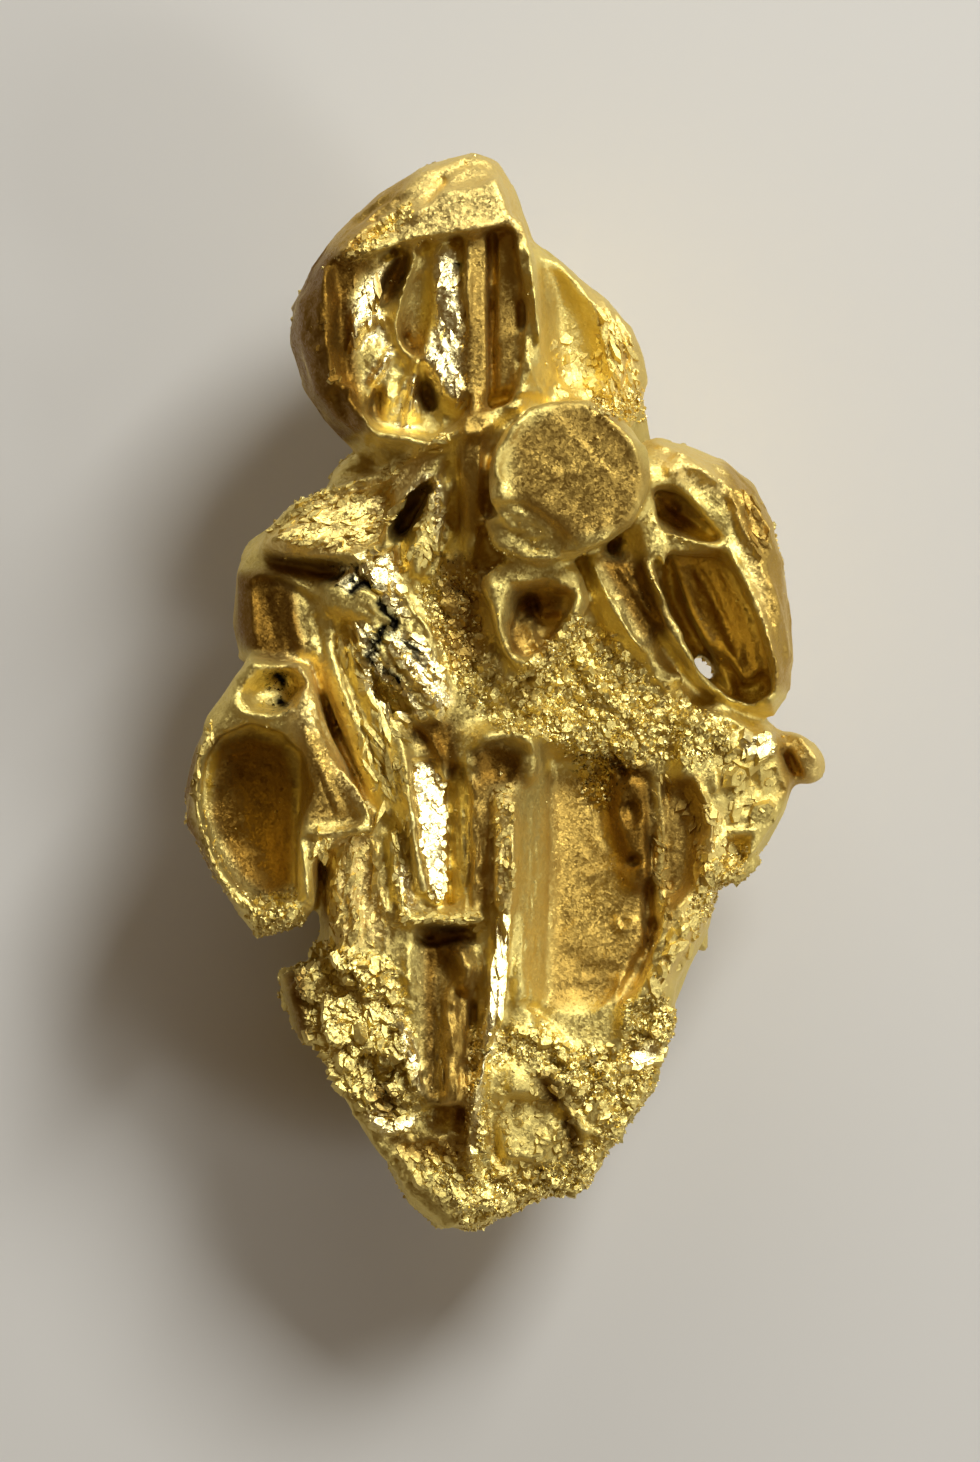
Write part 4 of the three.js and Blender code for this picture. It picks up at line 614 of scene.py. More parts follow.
# left crystal: thin rim, smooth basin, eye-like hollow above it
ear = {
    "settled": [
        ([(-3.95, -0.65), (-3.5, -0.5), (-3.05, -0.6), (-2.85, -1.0), (-2.85, -1.9), (-2.9, -2.65),
          (-3.3, -2.8), (-3.65, -2.6), (-4.0, -2.05), (-4.12, -1.4)], 0.08, 3.45, (0.2, 0.14), 0.3),
        ([(-3.72, 0.05), (-3.4, 0.35), (-2.95, 0.4), (-2.75, 0.15), (-2.95, -0.15), (-3.4, -0.22)], 0.08,
         3.95, (-0.3, 0.1), 0.3),
        ([(-2.95, -0.35), (-2.6, 0.0), (-2.3, -0.9), (-1.95, -1.7), (-2.3, -1.85), (-2.75, -1.7),
          (-2.75, -0.9)], 0.1, 4.4, (-0.3, 0.1), 0.0, 0.6),
    ],
    "raised": [
        ([(-4.0, -0.38), (-4.22, -0.82), (-4.25, -1.56), (-3.98, -2.36), (-3.65, -2.9), (-3.38, -3.22)],
         0.05, 0.14),
        ([(-3.76, 0.15), (-3.5, 0.45), (-3.1, 0.52), (-2.75, 0.38)], 0.07, 0.12),
        ([(-3.85, 0.0), (-3.6, -0.22), (-3.2, -0.3), (-2.85, -0.15), (-2.7, 0.15)], 0.06, 0.1),
        ([(-3.55, 0.05), (-3.3, 0.2), (-3.0, 0.22)], 0.04, 0.06),
        ([(-4.0, -0.6), (-3.55, -0.45), (-3.1, -0.5), (-2.85, -0.75)], 0.06, 0.09),
        ([(-3.95, -0.85), (-3.5, -0.72), (-3.1, -0.85), (-2.98, -1.3)], 0.04, 0.05),
        ([(-3.85, -1.05), (-3.45, -0.92), (-3.15, -1.1), (-3.08, -1.5), (-3.2, -1.85)], 0.04, 0.05),
        ([(-3.7, -1.2), (-3.4, -1.12), (-3.25, -1.4), (-3.35, -1.7)], 0.035, 0.04),
        ([(-3.6, -2.3), (-3.45, -2.2), (-3.3, -2.3), (-3.4, -2.45)], 0.03, 0.04),
        ([(-2.78, -0.45), (-2.5, -1.0), (-2.25, -1.6)], 0.1, 0.08, "round"),
        ([(-2.62, 0.15), (-2.5, -0.35), (-2.2, -1.0), (-1.92, -1.7)], 0.06, 0.12),
        ([(-2.85, -1.85), (-2.5, -1.88), (-2.2, -1.85), (-1.92, -1.75)], 0.07, 0.12),
        ([(-2.83, -1.85), (-2.74, -2.3), (-2.7, -2.85)], 0.06, 0.16),
        ([(-2.62, -2.0), (-2.58, -2.5), (-2.62, -3.0)], 0.05, 0.12),
    ],
    "sunk": [
        ([(-3.15, 0.28), (-3.08, 0.22)], 0.08, 0.3),
        ([(-3.12, -0.08), (-3.05, -0.1)], 0.07, 0.25),
        ([(-3.79, -1.26), (-3.77, -1.28)], 0.05, 0.15),
        ([(-2.84, -0.6), (-2.84, -1.2), (-2.87, -1.75)], 0.05, 0.12),
        ([(-2.92, -2.0), (-2.9, -2.7)], 0.05, 0.15),
        ([(-2.62, 0.3), (-2.5, -0.4), (-2.15, -1.15), (-1.86, -1.75)], 0.05, 0.3),
    ],
    "crumpled": [
        ([(-3.45, -2.8), (-2.85, -2.75), (-2.8, -3.2), (-3.45, -3.3)], 0.06, 0.13, 0.12, 31, 0.0, 1.0),
        ([(-3.7, 0.5), (-2.7, 0.4), (-2.4, -0.6), (-2.0, -1.6), (-2.5, -1.7), (-2.9, -0.5), (-3.9, -0.3)],
         0.1, 0.25, 0.035, 33, 1.0, 1.3),
        ([(-4.1, -0.6), (-2.7, -0.6), (-2.8, -2.8), (-3.5, -2.8), (-4.2, -1.8)], 0.1, 0.3, 0.025, 35, 0.3,
         1.2),
    ],
    "scored": [
        ([(-3.6, 0.5), (-2.6, 0.3), (-2.0, -1.6), (-2.5, -1.7), (-2.8, -0.4)], 2.1, 0.25, 30, 0.4, 0.035,
         0.03),
        ([(-4.0, -0.7), (-2.9, -0.7), (-2.9, -2.6), (-3.6, -2.6)], 0.7, 1.2, 24, 0.3, 0.03, 0.02),
    ],
}

# right crystal: ridged shell, short pit, long striped pit
rightCrystal = {
    "settled": [
        ([(2.3, 1.9), (2.95, 1.95), (3.25, 1.5), (3.45, 0.9), (3.6, 0.35), (3.3, 0.15), (3.05, 0.5),
          (2.75, 0.75), (2.5, 1.2)], 0.07, 3.55, (0.3, 0.1), 0.35),
        ([(2.05, 2.8), (2.3, 2.82), (2.55, 2.6), (2.95, 2.15), (2.5, 2.25), (2.15, 2.45)], 0.06, 3.75,
         (0.1, -0.4), 0.25),
        ([(2.5, 2.9), (3.0, 2.95), (3.15, 2.4), (3.05, 2.1), (2.75, 2.5)], 0.08, 4.4, (0.1, 0.0)),
    ],
    "raised": [
        ([(1.9, 3.5), (2.4, 3.38), (3.0, 3.1), (3.35, 2.7)], 0.07, 0.1),
        ([(2.1, 3.2), (2.6, 3.1), (3.0, 2.9)], 0.05, 0.08),
        ([(2.2, 3.1), (2.4, 3.05)], 0.1, 0.12, "flat"),
        ([(3.08, 2.78), (3.2, 2.35), (3.42, 2.0), (3.68, 1.72)], 0.05, 0.1),
        ([(3.42, 2.8), (3.58, 2.4), (3.62, 2.1)], 0.05, 0.1),
        ([(3.1, 2.8), (3.25, 2.92), (3.45, 2.78)], 0.05, 0.08),
        ([(3.05, 2.0), (3.25, 1.6), (3.48, 1.1), (3.65, 0.6), (3.72, 0.2)], 0.09, 0.16, "round"),
        ([(3.75, 1.6), (3.85, 1.0), (3.88, 0.4)], 0.05, 0.08),
        ([(2.0, 2.42), (2.3, 2.2), (2.65, 2.08), (3.0, 2.02)], 0.06, 0.16),
        ([(2.0, 2.88), (2.25, 2.92), (2.5, 2.75), (2.75, 2.5)], 0.05, 0.08),
        ([(2.45, 1.85), (2.7, 1.45), (2.95, 0.9), (3.1, 0.5)], 0.05, 0.08),
        ([(2.65, 1.9), (2.9, 1.5), (3.15, 0.95), (3.3, 0.45)], 0.05, 0.08),
        ([(2.25, 1.95), (2.25, 1.65), (2.45, 1.25), (2.62, 0.95)], 0.06, 0.14),
        ([(2.4, 0.75), (2.5, 0.45), (2.65, 0.2), (2.9, 0.05)], 0.06, 0.14),
    ],
    "sunk": [
        ([(3.0, 2.65), (3.1, 2.3), (3.3, 1.95)], 0.05, 0.1),
        ([(3.28, 2.65), (3.4, 2.35), (3.5, 2.1)], 0.07, 0.1),
        ([(2.1, 3.35), (2.6, 3.22), (3.0, 3.0)], 0.04, 0.08),
        ([(3.75, 1.35), (3.8, 0.8), (3.82, 0.3)], 0.03, 0.08),
        ([(2.2, 2.65), (2.45, 2.5), (2.75, 2.25)], 0.07, 0.18),
        ([(2.55, 1.85), (2.8, 1.45), (3.02, 0.95)], 0.035, 0.07),
        ([(2.42, 0.78), (2.52, 0.72)], 0.07, 0.2),
        ([(3.02, 0.12), (3.05, 0.06)], 0.05, 0.3),
        ([(3.18, -0.22), (3.22, -0.26)], 0.05, 0.3),
    ],
    "crumpled": [
        ([(2.1, 3.2), (3.0, 2.9), (3.1, 2.3), (2.7, 2.7), (2.1, 2.95)], 0.06, 0.14, 0.06, 37, -0.4, 1.5),
        ([(3.1, 2.7), (3.4, 2.8), (3.75, 1.8), (3.5, 1.8), (3.2, 2.2)], 0.06, 0.15, 0.06, 39, -1.1, 1.8),
        ([(2.2, 1.95), (3.0, 1.9), (3.6, 0.3), (3.3, 0.0), (2.6, 0.7)], 0.06, 0.12, 0.02, 41, -1.1, 5.0),
        ([(1.9, 3.6), (3.1, 3.4), (3.8, 2.6), (4.2, 1.0), (4.1, -0.1), (3.65, 0.0), (3.45, 1.6),
          (3.1, 2.7), (2.1, 3.1)], 0.1, 0.14, 0.03, 45, -1.1, 1.8),
    ],
    "scored": [
        ([(2.3, 1.95), (3.0, 1.9), (3.6, 0.3), (3.3, 0.1), (2.8, 0.7)], 2.05, 0.08, 50, 0.8, 0.03, 0.015),
        ([(1.9, 3.5), (3.0, 3.2), (3.6, 2.6), (3.9, 1.0), (3.7, 0.8), (3.3, 2.4), (2.2, 3.1)], 2.2, 0.5,
         50, 0.3, 0.035, 0.03),
    ],
}

# grainy middle with the ring, the knob and the folds beside the right crystal
middle = {
    "settled": [
        ([(-0.62, -0.5), (-0.1, -0.38), (0.45, -0.45), (0.6, -1.0), (0.5, -1.3), (-0.45, -1.35),
          (-0.7, -0.9)], 0.12, 4.15, (0.15, 0.2)),
        ([(0.1, 1.5), (0.6, 1.6), (0.9, 1.3), (0.8, 0.95), (0.5, 0.6), (0.15, 0.55), (0.0, 0.9)], 0.12,
         4.3, (0.2, 0.1), 0.3, 0.8),
        ([(-0.78, -0.95), (-0.5, -0.95), (-0.48, -2.8), (-0.76, -2.8)], 0.05, 3.72, (0.4, 0.05)),
        ([(1.15, 1.9), (1.7, 1.9), (2.1, 1.0), (2.0, 0.6), (1.6, 0.6), (1.2, 1.3)], 0.12, 4.3,
         (-0.1, 0.1), 0.0, 0.9),
    ],
    "faced": [
        ([(0.08, 1.0), (0.38, 1.1), (0.5, 0.8), (0.3, 0.58), (0.1, 0.6)], 0.05, 0.1, (-0.35, -0.4)),
        ([(0.42, 1.42), (0.9, 1.42), (0.88, 1.12), (0.5, 1.12)], 0.05, 0.1, (0.15, -0.1)),
    ],
    "raised": [
        ([(-0.22, 1.7), (-0.18, 1.25), (-0.05, 0.75), (0.2, 0.38), (0.55, 0.5), (0.85, 0.9), (1.02, 1.3),
          (0.98, 1.65)], 0.12, 0.1, "round"),
        ([(0.98, 1.65), (0.65, 1.86), (0.2, 1.86), (-0.22, 1.7)], 0.12, 0.1, "round"),
        ([(0.05, 1.6), (0.3, 1.55), (0.6, 1.62), (0.85, 1.5)], 0.08, 0.1),
        ([(0.82, 1.45), (0.9, 1.2), (0.8, 1.05)], 0.06, 0.08),
        ([(0.3, 0.98), (0.36, 0.85), (0.42, 0.68)], 0.07, 0.12),
        ([(0.48, 0.95), (0.56, 0.8)], 0.06, 0.08),
        ([(0.2, 1.1), (0.45, 1.02), (0.68, 0.95)], 0.04, 0.06),
        ([(0.05, 0.3), (-0.15, 0.0), (-0.1, -0.3)], 0.09, 0.1),
        ([(0.2, -0.1), (0.7, -0.3), (1.2, -0.5)], 0.1, 0.1),
        ([(0.9, 0.7), (1.2, 0.2), (1.6, -0.2), (2.0, -0.4)], 0.1, 0.12),
        ([(1.12, 1.95), (1.35, 1.45), (1.7, 0.85), (2.0, 0.5)], 0.07, 0.16),
        ([(1.45, 1.95), (1.8, 1.35), (2.15, 0.9)], 0.06, 0.14),
        ([(1.85, 1.9), (2.05, 1.5), (2.3, 1.15)], 0.06, 0.12),
        # rim of the knob, brightest on its right
        ([(-0.5, -0.8), (-0.3, -0.58), (0.05, -0.52), (0.32, -0.6), (0.46, -0.85), (0.4, -1.15)], 0.12,
         0.16, "round"),
        ([(-0.5, -0.8), (-0.54, -1.05), (-0.42, -1.3)], 0.08, 0.12, "round"),
        ([(1.0, -0.95), (1.35, -1.25), (1.3, -1.6)], 0.05, 0.1),
        ([(1.25, -0.85), (1.6, -1.0), (1.75, -1.3)], 0.05, 0.1),
        ([(2.1, -0.3), (2.5, -0.3), (2.9, -0.5)], 0.1, 0.12),
        ([(-0.62, -1.05), (-0.6, -1.8), (-0.62, -2.7)], 0.05, 0.12),
    ],
    "sunk": [
        ([(-0.28, -1.0), (-0.05, -0.92), (0.16, -1.02)], 0.34, 0.14, "round"),
        ([(0.3, 1.28), (0.65, 1.28)], 0.14, 0.12, "round"),
        ([(0.1, 1.0), (0.08, 0.7)], 0.07, 0.14),
        ([(0.6, 0.85), (0.55, 0.7)], 0.07, 0.15),
        ([(1.25, 1.75), (1.55, 1.15), (1.85, 0.7)], 0.05, 0.08),
        ([(1.65, 1.8), (1.95, 1.25), (2.2, 0.9)], 0.05, 0.07),
        ([(1.0, 1.6), (1.2, 1.2), (1.35, 0.8)], 0.07, 0.08),
        ([(-0.7, 1.7), (-0.5, 1.2), (-0.4, 0.7)], 0.16, 0.15, "round"),
        ([(-0.6, 0.3), (-0.3, 0.5)], 0.12, 0.1),
        ([(0.5, 0.15), (0.3, -0.05)], 0.08, 0.1),
        ([(1.45, -0.75), (1.62, -1.0), (1.6, -1.2)], 0.1, 0.2),
        ([(2.3, 0.3), (2.4, 0.0), (2.3, -0.3)], 0.1, 0.13),
        ([(-0.73, -1.0), (-0.72, -2.0), (-0.73, -2.75)], 0.05, 0.2),
        ([(-0.5, -1.2), (-0.49, -2.0), (-0.5, -2.8)], 0.04, 0.1),
    ],
    "crumpled": [
        ([(-0.8, 1.9), (-0.3, 1.9), (0.1, 0.4), (1.2, 0.6), (2.4, 0.2), (2.9, -0.5), (2.6, -1.0),
          (1.0, -0.9), (0.4, -0.6), (-0.6, -0.6), (-0.9, 0.5)], 0.15, 0.35, 0.06, 43, 0.6, 1.2),
    ],
    "scored": [
        ([(-0.9, 1.9), (-0.3, 1.8), (0.0, 0.4), (-0.6, 0.0), (-0.9, 0.6)], 2.0, 0.7, 40, 0.3, 0.035,
         0.05),
        ([(-0.85, -1.0), (-0.2, -1.2), (-0.2, -2.9), (-0.85, -2.9)], 1.57, 0.06, 40, 0.7, 0.03, 0.04),
        ([(0.2, 0.3), (1.2, 0.6), (2.4, 0.2), (2.6, -0.9), (1.0, -0.9)], 0.6, 1.2, 60, 0.25, 0.035, 0.05),
    ],
}

# right flank: blocky facets and the nub
flank = {
    "faced": [
        (places["flankGlint"], 0.04, 0.06, (-0.2, -0.3)),
        ([(2.95, -0.92), (3.3, -0.88), (3.2, -1.35), (2.9, -1.5)], 0.05, 0.0, (0.35, -0.1)),
        ([(3.35, -0.88), (3.7, -0.86), (3.6, -1.25), (3.3, -1.4)], 0.04, 0.0, (-0.3, 0.25)),
        ([(3.7, -0.9), (3.95, -1.1), (3.85, -1.45), (3.62, -1.35)], 0.04, 0.03, (-0.45, 0.1)),
        ([(2.95, -1.6), (3.5, -1.48), (3.7, -1.6), (3.35, -1.84), (2.98, -1.84)], 0.05, 0.03,
         (0.05, 0.35)),
        ([(3.0, -1.95), (3.35, -1.92), (3.3, -2.3), (2.95, -2.5)], 0.06, 0.0, (-0.3, 0.1)),
    ],
    "raised": [
        ([(3.0, -0.9), (3.45, -1.4)], 0.04, 0.1),
        ([(3.2, -0.95), (3.5, -0.9), (3.52, -1.3)], 0.04, 0.1),
        ([(3.7, -0.9), (3.88, -1.3)], 0.05, 0.1),
        ([(3.0, -1.85), (3.4, -1.86), (3.75, -1.55)], 0.05, 0.12),
        ([(3.8, -0.42), (4.1, -0.6), (4.33, -0.95)], 0.09, 0.12, "round"),
        ([(3.7, -0.4), (3.85, -0.75), (3.95, -1.05)], 0.05, 0.1),
        ([(2.55, -1.05), (2.8, -1.55), (2.85, -2.1), (2.75, -2.7)], 0.07, 0.13),
        ([(2.6, -0.25), (3.0, -0.3), (3.4, -0.45)], 0.07, 0.1),
        ([(2.9, -1.0), (2.95, -1.6)], 0.04, 0.08),
    ],
    "sunk": [
        ([(3.0, -0.4), (3.2, -0.5)], 0.08, 0.16),
        ([(3.3, -1.05), (3.38, -1.2)], 0.1, 0.12),
        ([(3.78, -0.7), (3.98, -0.95), (4.08, -1.2)], 0.09, 0.16),
        ([(3.15, -1.5), (3.5, -1.62)], 0.08, 0.12),
        ([(3.6, -0.95), (3.7, -1.3)], 0.05, 0.1),
        ([(3.1, -2.1), (3.3, -2.2)], 0.07, 0.14),
    ],
    "crumpled": [
        (places["flankFace"], 0.08, 0.45, 0.02, 47, 0.7, 1.1),
        (places["flankFace"], 0.08, 0.16, 0.018, 49, 0.7, 1.5),
    ],
    "scored": [
        (places["flankFace"], 0.9, 0.3, 50, 0.3, 0.03, 0.04),
    ],
}

# lower half: smooth hopper, slots, keel, grainy toes
lower = {
    "settled": [
        ([(-0.5, -1.2), (-0.18, -1.2), (-0.2, -2.9), (-0.5, -2.9)], 0.07, 4.05, (-0.5, 0.05)),
        ([(0.5, -0.75), (1.4, -0.8), (1.95, -1.2), (2.0, -2.2), (1.98, -3.3), (1.65, -4.2), (1.3, -4.8),
          (0.9, -4.7), (0.5, -4.45)],
         0.16, 3.38, (0.05, -0.1), 0.1),
        ([(0.55, -4.3), (1.6, -4.25), (1.6, -5.15), (1.1, -5.35), (0.7, -5.0)], 0.16, 3.58,
         (0.05, -0.06)),
        ([(0.18, -1.2), (0.55, -1.1), (0.66, -2.4), (0.56, -4.3), (0.14, -4.2), (0.12, -2.9)], 0.1, 3.75,
         (-1.6, 0.0)),
        ([(2.2, -1.15), (2.6, -1.15), (2.78, -1.7), (2.6, -2.6), (2.25, -2.9)], 0.08, 3.68, (0.4, 0.1),
         0.25),
        ([(1.45, -0.95), (2.0, -1.1), (2.02, -2.5), (1.75, -2.6), (1.5, -1.8)], 0.14, 3.6, (0.1, 0.0)),
        ([(-1.25, -3.15), (-0.45, -3.15), (-0.45, -3.5), (-1.2, -3.4)], 0.07, 3.6, (0.0, 1.0)),
        ([(-1.15, -5.55), (-0.55, -5.55), (-0.5, -6.1), (-1.0, -6.1)], 0.09, 3.3, (0.0, -0.9)),
        ([(-1.2, -3.4), (-0.45, -3.4), (-0.48, -5.6), (-1.12, -5.65)], 0.06, 3.82, (0.0, -0.05), 0.05),
    ],
    "faced": [
        # the foot: a feathered slope, small facets above it, a blunt lump on the right
        ([(0.0, -5.5), (0.75, -5.65), (0.8, -5.9), (0.5, -6.4), (0.0, -6.4), (-0.2, -5.9)], 0.08, 0.0,
         (-0.12, -0.1)),
        ([(0.05, -5.08), (0.28, -5.22), (0.4, -5.46), (0.05, -5.42)], 0.04, 0.06, (-0.2, -0.15)),
        ([(1.7, -4.3), (2.1, -4.2), (2.32, -4.35), (2.3, -4.65), (1.95, -4.72), (1.7, -4.6)], 0.07, 0.08,
         (0.25, 0.1)),
        ([(1.68, -5.06), (1.75, -4.9), (2.0, -4.8), (2.15, -4.82), (2.1, -4.98), (1.85, -5.12)], 0.03,
         0.08, (-0.22, -0.33)),
        ([(1.1, -5.0), (1.5, -4.9), (1.5, -5.2), (1.25, -5.45)], 0.05, -0.04, (0.2, -0.5)),
        ([(1.05, -5.55), (1.4, -5.5), (1.4, -5.85), (1.05, -5.9)], 0.06, 0.03, (0.15, 0.1)),
        # left foot: slanting blades
        ([(-1.52, -4.28), (-1.35, -4.5), (-1.2, -4.9), (-1.12, -5.5), (-1.25, -5.4), (-1.5, -4.8)], 0.035,
         0.1, (-0.25, -0.1)),
        ([(-1.93, -5.76), (-1.8, -5.68), (-1.58, -5.9), (-1.68, -6.02)], 0.03, 0.1, (-0.25, -0.3)),
        ([(-1.55, -5.92), (-1.22, -5.78), (-1.26, -5.92), (-1.55, -6.02)], 0.03, 0.1, (-0.2, -0.3)),
        ([(-0.97, -6.08), (-0.6, -6.08), (-0.6, -6.42), (-0.85, -6.42)], 0.04, 0.04, (-0.1, 0.2)),
        ([(-1.5, -6.2), (-1.0, -6.15), (-0.6, -6.5), (-0.5, -7.1), (-0.9, -6.9), (-1.3, -6.55)], 0.07,
         0.05, (-0.1, -0.15)),
        # white face along the keel
        ([(-0.15, -3.0), (0.04, -3.0), (0.02, -3.6), (-0.04, -4.2), (-0.12, -4.55), (-0.28, -4.55),
          (-0.2, -4.0), (-0.15, -3.5)], 0.03, 0.12, (-0.26, -0.2)),
    ],
    "raised": [
        ([(-0.2, -4.5), (-0.25, -4.8), (-0.32, -5.2)], 0.06, 0.12),
        ([(-0.32, -5.0), (-0.45, -5.6), (-0.5, -6.1), (-0.4, -6.8)], 0.07, 0.12),
        ([(-0.18, -1.35), (-0.1, -2.0), (-0.12, -2.9)], 0.06, 0.14),
        ([(0.08, -1.35), (0.12, -2.0), (0.08, -2.9)], 0.06, 0.14),
        ([(-1.42, -2.94), (-1.2, -3.1), (-0.95, -3.02), (-0.7, -3.13), (-0.48, -3.05), (-0.3, -3.1)],
         0.07, 0.11),
        ([(-1.2, -3.2), (-0.9, -3.35), (-0.75, -3.7)], 0.07, 0.1),
        ([(-0.78, -3.42), (-0.58, -3.52), (-0.5, -3.8), (-0.52, -4.1)], 0.24, 0.42, "round"),
        ([(-0.76, -4.0), (-0.74, -4.8), (-0.72, -5.9)], 0.25, 0.34, "round"),
        ([(-0.56, -4.2), (-0.55, -4.9), (-0.55, -5.6)], 0.06, 0.12),
        ([(-1.5, -4.3), (-1.3, -4.9), (-1.15, -5.6)], 0.08, 0.18),
        ([(-1.35, -3.4), (-1.3, -4.2)], 0.06, 0.12),
        ([(-1.75, -4.8), (-1.5, -5.4), (-1.3, -5.8)], 0.07, 0.12),
        ([(-1.9, -5.8), (-1.6, -5.9), (-1.2, -5.8)], 0.07, 0.14),
        ([(-2.5, -2.0), (-2.5, -2.8), (-2.4, -3.5)], 0.06, 0.1),
        ([(-2.1, -2.0), (-2.1, -2.8), (-2.0, -3.5)], 0.05, 0.08),
        ([(-1.8, -1.95), (-1.75, -2.6), (-1.6, -3.1)], 0.06, 0.14),
        ([(-1.55, -1.9), (-1.5, -2.4), (-1.35, -2.95)], 0.06, 0.12),
        ([(0.62, -1.2), (0.7, -2.0), (0.66, -3.0), (0.6, -4.0)], 0.05, 0.05),
        ([(1.15, -1.9), (1.5, -2.3), (1.75, -2.6)], 0.05, 0.06),
        ([(1.0, -2.6), (1.3, -2.4), (1.6, -2.4), (1.9, -2.7)], 0.04, 0.05),
        ([(1.65, -3.0), (1.75, -3.12), (1.65, -3.26), (1.52, -3.14), (1.6, -3.0)], 0.045, 0.07),
        ([(1.9, -3.3), (1.85, -3.8), (1.6, -4.2)], 0.06, 0.12),
        ([(2.1, -1.0), (2.18, -1.7), (2.12, -2.3), (2.14, -3.0), (1.95, -3.6)], 0.07, 0.07),
        ([(1.0, -3.7), (1.3, -3.6), (1.6, -3.7)], 0.04, 0.05),
        ([(1.0, -3.95), (1.35, -3.85), (1.65, -3.95)], 0.04, 0.05),
        ([(1.2, -4.4), (1.5, -4.15), (1.62, -3.8)], 0.05, 0.1),
        ([(0.0, -4.65), (0.4, -4.62), (0.75, -4.85)], 0.12, 0.08, "round"),
        ([(0.2, -6.3), (0.42, -6.46)], 0.05, 0.08),
        ([(0.45, -6.05), (0.6, -6.14), (0.8, -6.0)], 0.06, 0.1),
        ([(0.8, -5.45), (0.9, -5.8), (1.08, -5.98), (1.32, -6.02)], 0.08, 0.16),
        ([(0.6, -5.05), (0.9, -5.25), (1.05, -5.5)], 0.1, 0.08, "round"),
        ([(1.62, -4.55), (1.7, -4.25), (2.0, -4.1)], 0.06, 0.1),
        ([(2.28, -4.25), (2.34, -4.5), (2.25, -4.75)], 0.06, 0.1),
        ([(1.15, -5.1), (1.3, -5.35)], 0.035, 0.06),
        ([(1.25, -5.02), (1.4, -5.25)], 0.035, 0.06),
        ([(1.9, -5.15), (1.95, -5.45), (1.7, -5.75)], 0.08, 0.08),
        ([(0.9, -6.45), (1.2, -6.3), (1.4, -6.05)], 0.07, 0.08),
        ([(-1.52, -6.15), (-1.3, -6.6), (-0.9, -6.97), (-0.5, -7.25)], 0.07, 0.14),
        ([(-1.5, -6.12), (-1.1, -6.08), (-0.6, -6.02)], 0.07, 0.08),
        ([(-0.2, -6.4), (0.2, -6.8), (0.6, -6.9)], 0.08, 0.14),
        ([(2.5, -3.0), (2.25, -3.6), (1.98, -4.1)], 0.07, 0.14),
        ([(2.9, -2.6), (2.6, -3.3), (2.35, -4.0)], 0.07, 0.1),
    ],
    "sunk": [
        ([(1.7, -1.45), (1.75, -1.75)], 0.18, 0.22, "round"),
        ([(1.75, -2.2), (1.8, -2.35)], 0.13, 0.2, "round"),
        ([(1.63, -3.12), (1.64, -3.16)], 0.05, 0.2),
        ([(2.02, -3.2), (1.95, -3.7), (1.75, -4.1)], 0.06, 0.2),
        ([(0.82, -5.75), (0.92, -6.05), (0.95, -6.3)], 0.13, 0.28),
        ([(0.42, -5.2), (0.55, -5.45), (0.75, -5.6)], 0.12, 0.16, "round"),
        ([(1.52, -4.9), (1.6, -5.3)], 0.07, 0.12),
        ([(0.5, -6.6), (0.6, -6.75)], 0.08, 0.16),
        ([(-1.75, -5.25), (-1.6, -5.6)], 0.14, 0.24),
        ([(-2.42, -4.0), (-2.36, -4.08)], 0.08, 0.22),
        ([(-1.52, -4.35), (-1.45, -4.45)], 0.07, 0.2),
        ([(-1.9, -4.5), (-1.8, -4.9)], 0.08, 0.12),
        ([(-1.6, -6.05), (-1.35, -6.05)], 0.05, 0.14),
        ([(-2.05, -3.6), (-1.9, -3.65)], 0.06, 0.12),
        ([(-0.15, -5.9), (-0.12, -6.5)], 0.09, 0.14),
        ([(-0.24, -3.3), (-0.32, -4.3), (-0.45, -5.0)], 0.05, 0.12),
        ([(-1.68, -2.0), (-1.62, -2.6), (-1.48, -3.0)], 0.05, 0.2),
        ([(-0.45, -7.0), (-0.75, -7.15)], 0.08, 0.14),
        ([(1.7, -4.4), (1.85, -4.7)], 0.08, 0.14),
    ],
    "crumpled": [
        ([(-2.3, -3.2), (-1.5, -3.4), (-1.3, -5.8), (-0.5, -6.1), (-0.4, -7.4), (-1.3, -7.0),
          (-2.1, -5.8), (-3.1, -4.3), (-2.6, -3.6)], 0.1, 0.4, 0.06, 51, 1.2, 1.6),
        ([(-0.4, -4.6), (0.6, -4.5), (1.4, -4.4), (1.7, -4.1), (2.4, -4.2), (1.9, -5.8), (1.0, -6.9),
          (-0.4, -7.4)], 0.1, 0.45, 0.1, 55, 0.9, 1.4),
        ([(0.5, -1.1), (2.4, -1.2), (2.4, -2.4), (1.7, -4.2), (0.6, -4.4), (0.4, -2.5)], 0.1, 0.5, 0.035,
         59, 1.2, 1.3),
        ([(0.9, -2.4), (1.9, -2.6), (1.7, -4.1), (0.7, -4.3)], 0.1, 0.2, 0.02, 61, 0.6, 1.3),
        ([(2.4, -1.3), (2.95, -1.6), (2.9, -2.8), (2.1, -4.2), (1.9, -4.0), (2.6, -2.6)], 0.08, 0.16,
         0.07, 63, 1.3, 1.8),
        ([(-1.1, -4.2), (-0.5, -4.2), (-0.5, -5.9), (-1.0, -5.9)], 0.05, 0.16, 0.05, 65, 1.57, 4.0),
        ([(-2.7, -1.9), (-1.6, -1.9), (-1.4, -3.2), (-2.2, -3.4)], 0.08, 0.3, 0.06, 67, 1.5, 2.2),
    ],
    "scored": [
        ([(0.15, -1.2), (0.55, -1.1), (0.6, -4.2), (0.1, -4.3)], 1.57, 0.05, 30, 0.8, 0.03, 0.02),
        ([(0.7, -1.5), (2.0, -1.8), (1.9, -3.8), (0.8, -4.1)], 0.6, 1.0, 50, 0.35, 0.03, 0.01),
